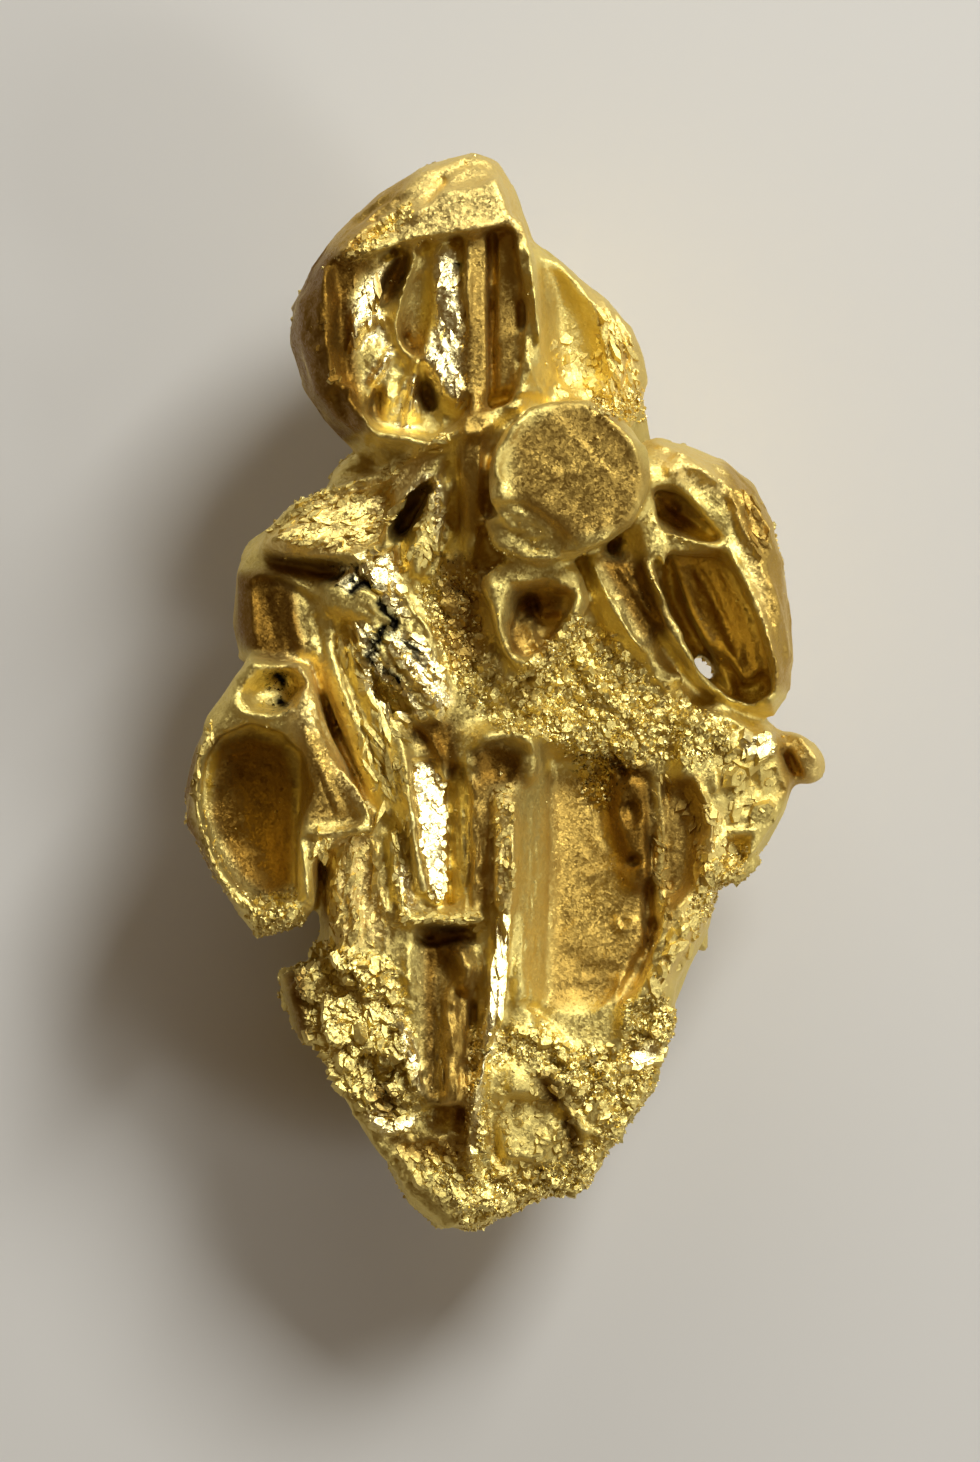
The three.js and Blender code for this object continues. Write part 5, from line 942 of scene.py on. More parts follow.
        ([(-1.1, -3.6), (-0.5, -3.6), (-0.5, -5.8), (-1.0, -5.8)], 1.55, 0.08, 40, 0.6, 0.03, 0.04),
        ([(-2.6, -1.9), (-1.4, -1.9), (-1.4, -3.3), (-2.3, -3.4)], 1.5, 0.15, 50, 0.5, 0.035, 0.04),
        ([(2.4, -1.3), (3.0, -1.6), (3.1, -2.6), (2.1, -4.2), (1.9, -4.0)], 1.2, 0.3, 40, 0.4, 0.035,
         0.04),
        ([(-2.8, -3.6), (-1.3, -3.6), (-0.5, -6.1), (-1.2, -7.0), (-2.0, -5.8)], 1.1, 0.8, 60, 0.3, 0.04,
         0.06),
        ([(0.0, -5.5), (0.75, -5.65), (0.75, -5.95), (0.3, -6.3), (0.0, -6.2)], -0.75, 0.12, 60, 0.35,
         0.02, 0.014),
        ([(1.1, -5.0), (1.5, -4.9), (1.5, -5.3), (1.2, -5.5)], 1.05, 0.1, 16, 0.3, 0.025, 0.04),
        ([(-1.3, -6.2), (-0.6, -6.2), (-0.5, -7.0), (-1.0, -6.9)], -0.6, 0.6, 24, 0.3, 0.03, 0.03),
    ],
}

crystals = [head, wing, disc, shoulder, foil, ear, rightCrystal, middle, flank, lower]
for one in crystals:
    for outline, *shape in one.get("settled", []):
        skin.settle(outline, *shape)
skin.write()
reskin(crystal, body["voxel"], onceSettled)
skin.read()
for one in crystals:
    for outline, *shape in one.get("faced", []):
        skin.face(outline, *shape)
    for path, width, height, *shape in one["raised"]:
        skin.stroke(path, width, height, *shape)
    for path, width, depth, *shape in one["sunk"]:
        skin.stroke(path, width, -depth, *shape)
skin.write()
reskin(crystal, body["voxel"], onceStroked)
skin.read()
chance = np.random.default_rng(body["seed"])
for one in crystals:
    for outline, edge, cell, height, seed, turn, stretch in one["crumpled"]:
        skin.crumple(outline, edge, cell, height, seed, turn, stretch)
    for outline, turn, spread, count, length, width, height in one.get("scored", []):
        skin.score(outline, turn, spread, count, length, width, height, chance)


# finishes over the body: how grainy, how bright, how dusted each point is
finishes = {
    "sugary": [
        [(-0.9, 1.7), (-0.45, 1.7), (-0.3, 0.6), (0.05, 0.2), (0.4, 0.5), (0.95, 1.1), (1.5, 0.8),
         (1.95, 0.3), (2.1, -0.3), (2.3, -0.8), (1.7, -1.0), (1.1, -1.1), (0.9, -0.8), (0.4, -0.5),
         (-0.1, -0.45), (-0.5, -0.1), (-0.75, 0.3)],
        places["leftToes"],
        [(-0.15, -4.6), (0.5, -4.5), (0.8, -4.75), (1.45, -4.9), (1.5, -5.6), (1.0, -5.6), (0.5, -5.1),
         (0.1, -4.95), (-0.2, -5.1)],
        [(1.6, -4.2), (2.1, -4.1), (2.4, -4.4), (2.2, -4.9), (2.1, -5.4), (1.6, -6.0), (1.0, -6.9),
         (0.4, -7.1), (0.4, -6.5), (1.0, -6.4), (1.4, -5.9), (1.5, -5.2), (1.6, -4.8)],
        [(-0.5, -6.5), (0.3, -6.6), (0.3, -7.2), (-0.5, -7.5), (-0.7, -7.2)],
        [(-0.5, -4.6), (-0.25, -4.6), (-0.25, -6.6), (-0.5, -6.5)],
        [(-1.2, -6.4), (-0.7, -6.45), (-0.5, -7.2), (-0.8, -7.0)],
        [(2.9, -2.0), (3.3, -2.1), (3.2, -2.6), (2.6, -3.3), (2.5, -3.0)],
        places["leftCrystalTip"],
        [(1.2, 4.15), (1.9, 4.2), (1.9, 3.8), (1.2, 3.75)],
        [(-1.2, 1.5), (-0.9, 1.6), (-0.55, 0.6), (-0.6, 0.2), (-0.85, 0.5)],
        [(0.95, -0.9), (1.5, -0.9), (1.4, -1.6), (1.1, -1.5)],
        [(2.1, 0.1), (2.6, -0.15), (3.05, -0.35), (3.0, -0.85), (2.6, -1.0), (2.2, -0.8)],
    ],
    "sandy": [
        [(-3.4, 2.1), (-2.6, 2.75), (-1.5, 3.1), (-0.7, 3.7), (-1.2, 2.9), (-1.7, 2.1), (-2.4, 1.9),
         (-3.1, 1.9)],
        [(-2.9, 5.7), (-1.9, 6.9), (-0.9, 7.5), (0.0, 7.4), (0.4, 6.2), (-0.6, 6.3), (-1.6, 6.2),
         (-2.3, 5.9)],
        [(2.0, 3.5), (3.0, 3.3), (3.6, 2.7), (4.0, 1.0), (4.0, 0.0), (3.6, 0.1), (3.3, 1.8), (3.0, 2.7),
         (2.1, 3.0)],
        [(1.0, 5.8), (1.9, 4.9), (1.95, 4.0), (1.4, 3.9), (1.45, 4.8)],
        places["leftStep"],
        [(-3.1, 0.6), (-2.5, 0.5), (-1.9, -1.5), (-2.5, -1.6), (-3.0, -0.3)],
        [(-0.2, -1.2), (0.15, -1.2), (0.1, -2.9), (-0.2, -2.9)],
        places["rightSlope"],
        [(3.7, -0.4), (4.45, -0.8), (4.4, -1.3), (3.9, -1.5)],
    ],
    "bright": [
        [(-1.6, 5.95), (-1.95, 5.65), (-2.12, 5.3), (-2.08, 4.7), (-1.5, 5.0), (-1.75, 5.3),
         (-1.65, 5.7)],
        places["mouthLeaf"],
        [(-1.3, 4.4), (-1.15, 4.4), (-1.25, 3.6), (-1.5, 3.6), (-1.45, 4.1)],
        [(-1.5, 4.85), (-1.6, 4.4), (-1.8, 4.2), (-1.95, 4.3), (-1.75, 4.6), (-1.65, 4.9)],
        [(-2.42, 1.62), (-2.0, 1.88), (-1.82, 1.55), (-2.15, 1.4)],
        places["upperFoil"],
        places["leftFoil"],
        places["rightFoil"],
        [(-1.32, -0.86), (-1.0, -0.84), (-0.8, -1.2), (-0.78, -2.4), (-0.82, -2.88), (-1.04, -2.78),
         (-1.18, -2.2), (-1.26, -1.5)],
        places["slotGlint"],
        [(-1.4, 2.75), (-1.1, 3.05), (-0.88, 2.98), (-0.84, 2.5), (-0.95, 2.1), (-1.0, 2.8)],
        places["flankGlint"],
        [(-0.17, -2.98), (0.06, -2.98), (0.02, -3.8), (-0.1, -4.6), (-0.28, -5.2), (-0.45, -6.4),
         (-0.52, -6.3), (-0.3, -4.6), (-0.2, -3.9)],
        [(1.66, -5.06), (1.75, -4.88), (2.0, -4.78), (2.18, -4.8), (2.1, -5.0), (1.85, -5.14)],
        [(-1.93, -5.76), (-1.8, -5.68), (-1.58, -5.85), (-1.22, -5.76), (-1.26, -5.94), (-1.68, -6.04)],
        [(-1.52, -4.28), (-1.35, -4.5), (-1.2, -4.9), (-1.12, -5.5), (-1.3, -5.2)],
    ],
    # painted shade in brown: the left shells, basins, hollows, pits and knob
    "paintedShade": [
        [(-3.2, 5.9), (-2.6, 6.2), (-2.15, 5.95), (-2.05, 4.8), (-1.85, 3.6), (-2.4, 3.4), (-3.1, 4.4)],
        [(-4.0, -0.6), (-3.5, -0.5), (-3.0, -0.65), (-2.85, -1.2), (-2.9, -2.6), (-3.3, -2.8),
         (-3.7, -2.5), (-4.1, -1.7)],
        [(-4.5, -0.6), (-4.15, -0.4), (-4.3, -1.6), (-3.7, -3.0), (-4.2, -2.8), (-4.6, -1.6)],
        [(-3.75, 1.7), (-3.3, 1.75), (-2.9, 1.5), (-2.7, 0.6), (-3.2, 0.5), (-3.8, 0.7)],
        [(-0.5, -0.75), (-0.1, -0.6), (0.25, -0.75), (0.3, -1.2), (-0.4, -1.3)],
        [(-1.15, -3.15), (-0.5, -3.15), (-0.5, -3.5), (-0.9, -3.8), (-0.95, -5.6), (-1.1, -5.6),
         (-1.15, -4.2)],
        [(1.35, -0.8), (2.0, -1.0), (2.05, -2.6), (1.6, -2.4), (1.4, -1.6)],
        places["leafHollow"],
        places["starHollow"],
        places["lowHollow"],
        [(-1.45, 4.95), (-1.35, 5.0), (-1.2, 4.75), (-1.28, 4.65)],
        [(-2.4, 6.0), (-1.6, 5.97), (-1.95, 5.7), (-2.15, 5.3), (-2.1, 4.4), (-2.4, 4.4)],
        [(0.2, 1.45), (0.75, 1.42), (0.78, 1.1), (0.25, 1.1)],
        [(0.05, 1.0), (0.25, 0.95), (0.22, 0.6), (0.05, 0.62)],
        [(0.4, -5.15), (0.6, -5.2), (0.85, -5.6), (0.55, -5.6)],
        [(0.78, -5.7), (0.9, -5.65), (1.05, -6.3), (0.85, -6.35)],
        [(-1.92, -5.35), (-1.6, -5.35), (-1.5, -5.8), (-1.7, -5.85)],
        [(-3.1, -3.8), (-2.75, -3.75), (-2.7, -4.7), (-2.85, -4.8)],
        [(-1.5, 2.2), (-1.3, 2.62), (-1.02, 2.8), (-1.1, 2.5), (-1.4, 2.1)],
        [(1.2, 1.9), (1.9, 1.9), (2.3, 0.9), (1.9, 0.7)],
        [(2.0, 2.8), (2.3, 2.85), (2.7, 2.3), (2.3, 2.2)],
        [(-1.45, -0.35), (-0.7, -0.3), (-0.55, -1.2), (-1.0, -0.95)],
        [(-3.3, 1.9), (-2.3, 1.75), (-2.3, 1.55), (-3.3, 1.65)],
    ],
    # painted shade in tan, lighter than the brown: columns, disc, hopper, ring and the satin shells
    "paintedHalfShade": [
        [(-3.0, 6.0), (-1.9, 7.1), (-1.2, 7.3), (-1.4, 6.8), (-2.2, 6.0)],
        [(-0.55, 6.3), (0.2, 6.3), (0.24, 5.3), (0.1, 4.1), (-0.2, 4.0), (-0.2, 2.2), (-0.7, 2.2)],
        [(-1.15, 4.6), (-1.4, 4.8), (-1.47, 5.1), (-1.3, 5.2), (-1.1, 4.9)],
        [(-1.6, -6.1), (-0.5, -6.0), (-0.6, -6.4), (-1.3, -6.4)],
        [(0.1, 3.5), (0.8, 4.0), (1.5, 3.8), (1.95, 3.0), (1.7, 2.3), (0.8, 2.1), (0.1, 2.7)],
        [(2.2, 1.95), (2.95, 2.0), (3.75, 0.3), (3.2, 0.1), (2.4, 1.0)],
        [(0.6, -1.1), (2.0, -1.0), (2.1, -3.4), (1.6, -4.2), (0.6, -4.3)],
        [(2.1, -1.1), (2.7, -1.1), (2.8, -2.4), (2.2, -3.2)],
        [(-0.9, 1.9), (-0.3, 1.9), (-0.2, 0.6), (-0.7, 0.3), (-0.95, 0.9)],
        [(-2.8, -0.4), (-2.5, -0.5), (-2.0, -1.7), (-2.8, -1.75)],
        [(3.0, 3.3), (3.7, 2.7), (4.1, 1.0), (4.0, 0.0), (3.6, 0.2), (3.5, 1.6), (3.0, 2.7)],
        [(0.1, 1.4), (0.9, 1.5), (0.6, 0.5), (0.1, 0.6)],
        [(-0.5, -1.1), (-0.18, -1.2), (-0.2, -2.9), (-0.5, -2.9)],
        [(3.7, -0.5), (4.1, -0.6), (4.2, -1.3), (3.8, -1.4)],
        [(-0.95, -3.6), (-0.45, -3.5), (-0.45, -5.9), (-0.95, -5.9)],
        [(-2.3, -0.1), (-2.5, 0.5), (-2.3, -0.6), (-1.8, -1.7)],
    ],
    "dusted": [
        [(-1.95, 0.55), (-1.5, 0.4), (-1.25, 0.0), (-1.5, 0.1), (-1.8, 0.35)],
        [(-1.55, 0.95), (-1.1, 0.75), (-1.0, 0.5), (-1.3, 0.55)],
        [(-3.3, 0.35), (-2.95, 0.35), (-2.9, -0.2), (-3.3, -0.2)],
        [(-2.4, 1.8), (-1.85, 1.85), (-1.82, 1.4), (-2.4, 1.45)],
        [(-1.05, 1.9), (-0.5, 1.9), (-0.5, 1.3), (-0.9, 1.4)],
        [(0.9, -0.7), (1.5, -0.7), (1.7, -1.3), (1.0, -1.3)],
    ],
}


# painted shade in near-black along cracks and pits, and painted dark reflection along the foil's stripes:
# a path and its half width
paintedCreaseShadeLines = [
    ([(-1.72, 1.27), (-1.66, 1.16), (-1.54, 1.09), (-1.51, 0.98)], 0.07),
    ([(-1.51, 0.98), (-1.58, 0.9), (-1.68, 0.9)], 0.08),
    ([(-1.68, 0.9), (-1.73, 0.8), (-1.8, 0.74), (-1.8, 0.62)], 0.09),
    ([(-1.8, 0.62), (-1.9, 0.56), (-1.86, 0.48)], 0.065),
    ([(-1.84, 0.46), (-1.74, 0.42), (-1.7, 0.36), (-1.6, 0.35)], 0.035),
    ([(-1.58, 0.3), (-1.48, 0.26), (-1.45, 0.18)], 0.035),
    ([(-1.42, 0.76), (-1.32, 0.72), (-1.28, 0.64), (-1.18, 0.62)], 0.03),
    ([(-1.2, 0.52), (-1.12, 0.5), (-1.08, 0.42)], 0.03),
    ([(-2.4, 1.6), (-2.3, 1.62), (-2.22, 1.7)], 0.03),
    ([(-2.22, 1.55), (-2.1, 1.6), (-2.05, 1.7), (-2.0, 1.8)], 0.03),
    ([(-2.12, 1.42), (-1.98, 1.55), (-1.84, 1.52)], 0.06),
    ([(-3.13, 0.28), (-3.08, 0.24), (-3.06, 0.16)], 0.06),
    ([(-3.1, -0.08), (-3.04, -0.12)], 0.055),
    ([(-0.7, 5.92), (-0.62, 5.88)], 0.025),
    ([(0.38, 4.66), (0.42, 4.58)], 0.02),
]


finishEdge = 0.12  # mm over which a finish fades out
brightEdge = 0.05  # mm, the bright leaves end sharply


def finishAmounts(front):
    x, y = front.points[:, 0], front.points[:, 1]
    amounts = {}
    for name, outlines in finishes.items():
        amount = np.zeros(len(x))
        edge = brightEdge if name == "bright" else finishEdge
        for outline in outlines:
            amount = np.maximum(amount, insideShape(x, y, outline, edge))
        amounts[name] = amount * front.up
    # painted shade: near-black along the cracks, pits and stripes
    amounts["paintedCreaseShade"] = np.zeros(len(x))
    for path, width in paintedCreaseShadeLines:
        distance, _ = fromPath(x, y, path)
        dark = (1 - smoothStep(0.6 * width, 1.2 * width, distance)) * front.up
        amounts["paintedCreaseShade"] = np.maximum(amounts["paintedCreaseShade"], dark)
    amounts["sugary"] = amounts["sugary"] * (1 - amounts["bright"])
    # the sides and back are sugary in patches too
    drift = np.sin(front.points @ [1.9, 0.7, 1.3]) + np.sin(front.points @ [-0.8, 1.7, 2.1] + 1.0)
    amounts["sugary"] = np.maximum(amounts["sugary"], smoothStep(0.5, 1.3, drift) * (1 - front.up) * 0.8)
    amounts["sandy"] = np.maximum(amounts["sandy"], smoothStep(-0.6, 0.6, -drift) * (1 - front.up))
    return amounts


skin.write()
skin.read()
amounts = finishAmounts(skin)
# whole finishes broken into faces: how much, mm wide, slope, step, seed, lean
skin.flakes(amounts["sugary"] * smoothStep(-3.0, -3.6, skin.points[:, 1]), 0.5, 0.22, 0.06, 3,
            (-0.2, -0.22))
skin.flakes(amounts["sugary"], 0.18, 0.2, 0.02, 5, (-0.05, -0.08))
skin.flakes(amounts["bright"] * smoothStep(3.5, 3.0, skin.points[:, 1]), 0.24, 0.07, 0.01, 7,
            (-0.06, -0.08))
skin.flakes(np.full(len(skin.points), 0.35), 0.6, 0.08, 0.01, 9)
skin.points = np.clip(skin.points, np.array(cadLow) / millimetre, np.array(cadHigh) / millimetre)
skin.write()
print("body sculpted:", len(crystal.data.polygons), "faces")


def thinBody(obj):
    triangles = sum(len(p.vertices) - 2 for p in obj.data.polygons)
    thin = obj.modifiers.new("thin", "DECIMATE")
    thin.ratio = min(1.0, body["mostTriangles"] / triangles)
    applyModifiers(obj)


thinBody(crystal)


# the finishes as attributes of the points, with only a part of the grain where asked
def paintFinishes(obj, grain=1.0):
    for name, amount in finishAmounts(Skin(obj)).items():
        if name in ("sugary", "sandy"):
            amount = amount * grain
        layer = obj.data.attributes.new(name, "FLOAT", "POINT")
        layer.data.foreach_set("value", amount.astype(np.float32))


paintFinishes(crystal)


def finishPiece(obj):
    obj.scale = [millimetre] * 3
    selectOnly(obj)
    bpy.ops.object.transform_apply(location=False, rotation=False, scale=True)
    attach(obj, "root")
    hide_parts("gold_crystal")


# loose sugar: small crystals standing on the grainy faces
sugar = {
    "count": 18000,
    "size": (0.02, 0.09),  # mm across, most of it small
    "stretch": (0.7, 1.3),
    "lift": 0.1,  # part of the size that it stands off the skin
    "strays": 0.001,  # how often it grows outside the grainy parts
    "onSides": 0.25,  # how often on the sides and back, next to the front
    "kept": 0.7,  # part of it kept off the faces painted with brown and tan shade
    "finish": {"sugary": 0.3, "bright": 0.2},
    "seed": 11,
}


def growSugar():
    # an octahedron: four corners round the middle, one above and one below
    shape = 0.5 * np.array([(1, 0, 0), (0, 1, 0), (-1, 0, 0), (0, -1, 0), (0, 0, 1), (0, 0, -1)])
    faces = np.array([[n, (n + 1) % 4, 4] for n in range(4)] + [[(n + 1) % 4, n, 5] for n in range(4)])
    chance = np.random.default_rng(sugar["seed"])
    ground = Skin(crystal)
    kinds = finishAmounts(ground)
    smooth = np.maximum(kinds["paintedShade"], kinds["paintedHalfShade"])
    facing = np.where(ground.normals[:, 2] > 0.1, 1.0, sugar["onSides"])
    weight = (kinds["sugary"] ** 2 * (1 - sugar["kept"] * smooth) + sugar["strays"]) * facing
    rooted = chance.choice(len(weight), sugar["count"], replace=False, p=weight / weight.sum())
    spin = chance.normal(size=(sugar["count"], 3, 3))
    spin = np.linalg.qr(spin)[0]
    spin[np.linalg.det(spin) < 0, 0] *= -1
    low, high = sugar["size"]
    size = low + (high - low) * chance.random(sugar["count"]) ** 3
    stretch = chance.uniform(*sugar["stretch"], (sugar["count"], 1, 3))
    points = (shape[None] * stretch) @ spin * size[:, None, None]
    points += (ground.points[rooted] + ground.normals[rooted] * sugar["lift"] * size[:, None])[:, None]
    points = np.clip(points, ground.points.min(0), ground.points.max(0))
    allFaces = faces[None] + (np.arange(sugar["count"]) * len(shape))[:, None, None]
    mesh = bpy.data.meshes.new("goldSugar")
    mesh.from_pydata(points.reshape(-1, 3).tolist(), [], allFaces.reshape(-1, 3).tolist())
    obj = bpy.data.objects.new("goldSugar", mesh)
    scene.collection.objects.link(obj)
    for name, amount in sugar["finish"].items():
        layer = mesh.attributes.new(name, "FLOAT", "POINT")
        layer.data.foreach_set("value", np.full(len(mesh.vertices), amount, np.float32))
    return obj


# small crystal faces grown on the body: thin six-sided plates with slanting sides
plates = {
    "sides": 6,
    "bevel": 0.16,  # part of the width that each side slants over
    "lift": (0.004, 0.03),  # mm above the skin
    "root": 1.1,  # how far one reaches below its face, in half widths
    "uneven": (0.75, 1.15),  # how far its corners lie out, in half widths
    "askew": 0.3,  # how far they are turned along its rim
    "sharedTilt": (0.22, 0.32, 0.92),
    "steepest": 0.45,  # none grows where the skin faces up less than this
    "grain": 0.3,  # part of the body's grain that its finish keeps
    "seed": 21,
    # outline, count, mm across, times longer, turned, how far towards one shared tilt, scatter
    "patches": [
        (places["slotFoil"], 80, (0.1, 0.2), 1.3, 1.6, 0.75, 0.05),
        (places["leftFoil"], 70, (0.1, 0.24), 1.8, 2.2, 0.5, 0.12),
        (places["rightFoil"], 60, (0.1, 0.24), 1.8, 2.2, 0.5, 0.12),
        (places["upperFoil"], 50, (0.08, 0.22), 1.6, 2.1, 0.4, 0.15),
        ([(-0.9, 1.7), (-0.45, 1.7), (-0.3, 0.6), (0.05, 0.2), (0.4, 0.5), (0.95, 1.1), (1.5, 0.8),
          (1.95, 0.3), (2.2, -0.3), (2.3, -0.8), (1.7, -1.0), (1.1, -1.1), (0.9, -0.8), (0.4, -0.5),
          (-0.1, -0.45), (-0.5, -0.1), (-0.75, 0.3)],
         900, (0.05, 0.17), 1.2, 0.6, 0.3, 0.3),
        (places["leftToes"], 700, (0.06, 0.24), 1.6, 1.2, 0.8, 0.2),
        ([(-0.3, -4.6), (0.6, -4.55), (1.5, -4.8), (1.7, -4.2), (2.3, -4.2), (2.2, -5.0), (1.6, -6.0),
          (0.9, -6.9), (-0.3, -7.3), (-0.5, -6.4), (-0.3, -5.5)], 420, (0.05, 0.18), 1.6, 0.9, 0.58,
          0.22),
        ([(-1.5, -6.2), (-0.6, -6.1), (-0.4, -7.3), (-1.0, -6.95)], 120, (0.06, 0.2), 1.8, 2.4, 0.35,
         0.14),
        ([(3.05, -0.6), (3.6, -0.5), (3.7, -1.2), (3.3, -2.1), (3.05, -2.2), (3.0, -1.4)], 60,
         (0.1, 0.32), 1.7, 0.8, 0.35, 0.12),
        ([(2.2, 0.0), (2.6, -0.2), (3.05, -0.4), (3.0, -0.85), (2.6, -1.0), (2.2, -0.8)], 90, (0.06, 0.2),
         1.5, 0.4, 0.35, 0.2),
        ([(1.15, 5.5), (1.8, 4.8), (1.8, 4.0), (1.5, 3.9), (1.4, 4.6)], 100, (0.06, 0.2), 4.0, 1.95, 0.35,
         0.09),
        ([(0.6, 4.9), (1.3, 4.9), (1.4, 4.2), (0.7, 4.1)], 50, (0.06, 0.2), 1.4, 1.2, 0.3, 0.15),
        ([(-3.2, 2.15), (-2.6, 2.62), (-1.5, 2.95), (-1.5, 2.5), (-1.75, 2.1), (-2.4, 2.02)], 130,
         (0.05, 0.2), 3.0, 0.45, 0.3, 0.08),
        (places["capSlope"], 150, (0.05, 0.14), 1.5, 2.2, 0.3, 0.3),
        (places["mouthLeaf"], 22, (0.08, 0.24), 4.0, 1.4, 0.4, 0.08),
        ([(-2.1, 5.7), (-1.75, 5.7), (-1.6, 4.8), (-1.9, 4.3), (-2.1, 4.6)], 16, (0.1, 0.24), 4.5, 1.45,
         0.35, 0.08),
        (places["leftStep"], 110, (0.06, 0.22), 3.0, 1.5, 0.25, 0.1),
        (places["rightSlope"], 150, (0.06, 0.24), 2.0, 1.2, 0.25, 0.14),
        (places["longFolds"], 60, (0.08, 0.26), 6.0, 2.0, 0.3, 0.08),
        ([(-0.2, -1.2), (0.1, -1.2), (0.1, -2.9), (-0.2, -2.9)], 60, (0.06, 0.14), 1.6, 1.3, 0.3, 0.15),
        ([(-1.4, 2.0), (-1.05, 2.7), (-0.84, 2.8), (-0.84, 2.2), (-1.1, 1.7)], 60, (0.06, 0.18), 2.5,
         1.15, 0.4, 0.12),
        (places["leftCrystalTip"], 110, (0.05, 0.15), 1.2, 0.5, 0.3, 0.35),
        ([(3.2, 2.7), (3.4, 2.7), (3.55, 2.1), (3.4, 2.0)], 14, (0.06, 0.18), 3.0, 2.0, 0.3, 0.08),
        ([(-2.7, 5.3), (-2.3, 5.3), (-2.3, 4.1), (-2.6, 4.2)], 9, (0.08, 0.2), 1.6, 1.2, 0.3, 0.12),
        # long edges, broken up: the slots' frame, the left crystal's rim, the hopper's rib
        ([(-1.55, -0.6), (-1.36, -0.6), (-1.28, -3.0), (-1.5, -3.0)], 60, (0.05, 0.16), 3.0, 1.53, 0.3,
         0.12),
        ([(-1.5, -2.9), (-0.25, -2.95), (-0.25, -3.2), (-1.5, -3.16)], 45, (0.05, 0.16), 2.0, 0.0, 0.3,
         0.15),
        ([(-4.25, -0.4), (-4.0, -0.4), (-4.1, -1.5), (-3.7, -2.5), (-3.3, -3.1), (-3.5, -3.2),
          (-4.1, -2.3), (-4.4, -1.2)],
         50, (0.04, 0.11), 3.0, 1.9, 0.3, 0.12),
        ([(2.0, -1.0), (2.3, -0.9), (2.25, -3.0), (1.95, -3.7), (1.9, -3.5), (2.05, -2.9)], 50,
         (0.04, 0.13), 3.0, 1.55, 0.2, 0.15),
        ([(-3.3, 2.25), (-2.5, 2.9), (-1.4, 3.25), (-0.7, 3.7), (-0.6, 3.6), (-1.3, 3.1), (-2.4, 2.72),
          (-3.2, 2.15)],
         60, (0.04, 0.14), 3.0, 0.45, 0.3, 0.12),
        # broad white faces: along the keel, on the right foot, on the left foot
        ([(-0.15, -3.0), (0.03, -3.0), (0.0, -3.8), (-0.1, -4.55), (-0.25, -4.55), (-0.16, -3.7)], 16,
         (0.22, 0.3), 5.0, 1.45, 0.97, 0.01),
        ([(1.72, -5.02), (1.8, -4.9), (2.0, -4.82), (2.1, -4.86), (2.05, -4.98), (1.85, -5.1)], 9,
         (0.2, 0.34), 1.5, 0.35, 0.9, 0.02),
        ([(-1.9, -5.76), (-1.8, -5.7), (-1.6, -5.9), (-1.25, -5.8), (-1.28, -5.92), (-1.66, -6.0)], 10,
         (0.12, 0.24), 1.6, -0.3, 0.8, 0.08),
    ],
}


def growPlates():
    chance = np.random.default_rng(plates["seed"])
    ground = Skin(crystal)
    x, y = ground.points[:, 0], ground.points[:, 1]
    around = np.arange(plates["sides"]) * 2 * math.pi / plates["sides"]
    shared = np.array(plates["sharedTilt"])
    points, low, high = [], ground.points.min(0), ground.points.max(0)
    upright = ground.normals[:, 2] > plates["steepest"]
    for outline, count, across, longer, turn, share, scatter in plates["patches"]:
        fit = np.nonzero((insideShape(x, y, outline, 0.02) > 0.5) & upright)[0]
        for place in chance.choice(fit, min(count, len(fit)), replace=False):
            up = (1 - share) * ground.normals[place] + share * shared + scatter * chance.normal(size=3)
            up /= np.linalg.norm(up)
            angle = turn + 4 * scatter * chance.normal()
            along = np.array([math.cos(angle), math.sin(angle), 0.0])
            along -= up * (along @ up)
            along /= np.linalg.norm(along)
            side = np.cross(up, along)
            half = 0.5 * (across[0] + (across[1] - across[0]) * chance.random() ** 1.7)
            reach = half * chance.uniform(*plates["uneven"], len(around))
            turned = around + chance.uniform(-plates["askew"], plates["askew"], len(around))
            ring = (np.cos(turned) * reach * math.sqrt(longer))[:, None] * along
            ring = ring + (np.sin(turned) * reach / math.sqrt(longer))[:, None] * side
            middle = ground.points[place] + up * chance.uniform(*plates["lift"])
            root = middle - up * plates["root"] * half
            points += [*(middle + ring), *(root + ring * (1 + 2 * plates["bevel"]))]
    points = np.clip(np.array(points), low, high)
    sides, total = plates["sides"], len(points) // (2 * plates["sides"])
    faces = [[0, n, n + 1] for n in range(1, sides - 1)]
    faces += [[sides, sides + n + 1, sides + n] for n in range(1, sides - 1)]
    for n in range(sides):
        after = (n + 1) % sides
        faces += [[n, sides + n, after], [after, sides + n, sides + after]]
    allFaces = np.array(faces)[None] + (np.arange(total) * 2 * sides)[:, None, None]
    mesh = bpy.data.meshes.new("goldPlates")
    mesh.from_pydata(points.tolist(), [], allFaces.reshape(-1, 3).tolist())
    obj = bpy.data.objects.new("goldPlates", mesh)
    scene.collection.objects.link(obj)
    paintFinishes(obj, plates["grain"])
    return obj


crystalSugar = growSugar()
crystalPlates = growPlates()
finishPiece(crystalSugar)
finishPiece(crystalPlates)
finishPiece(crystal)
bpy.ops.object.shade_smooth()
print("body done:", len(crystal.data.polygons), "faces")
print("sugar grown:", len(crystalSugar.data.polygons), "faces")
print("plates grown:", len(crystalPlates.data.polygons), "faces")


# a node with its settings and what feeds its sockets
def addNode(tree, kind, settings=(), links=()):
    node = tree.nodes.new(kind)
    for name, value in dict(settings).items():
        if isinstance(name, int) or name in node.inputs:
            node.inputs[name].default_value = value
        else:
            setattr(node, name, value)
    for name, source in dict(links).items():
        tree.links.new(source, node.inputs[name])
    return node


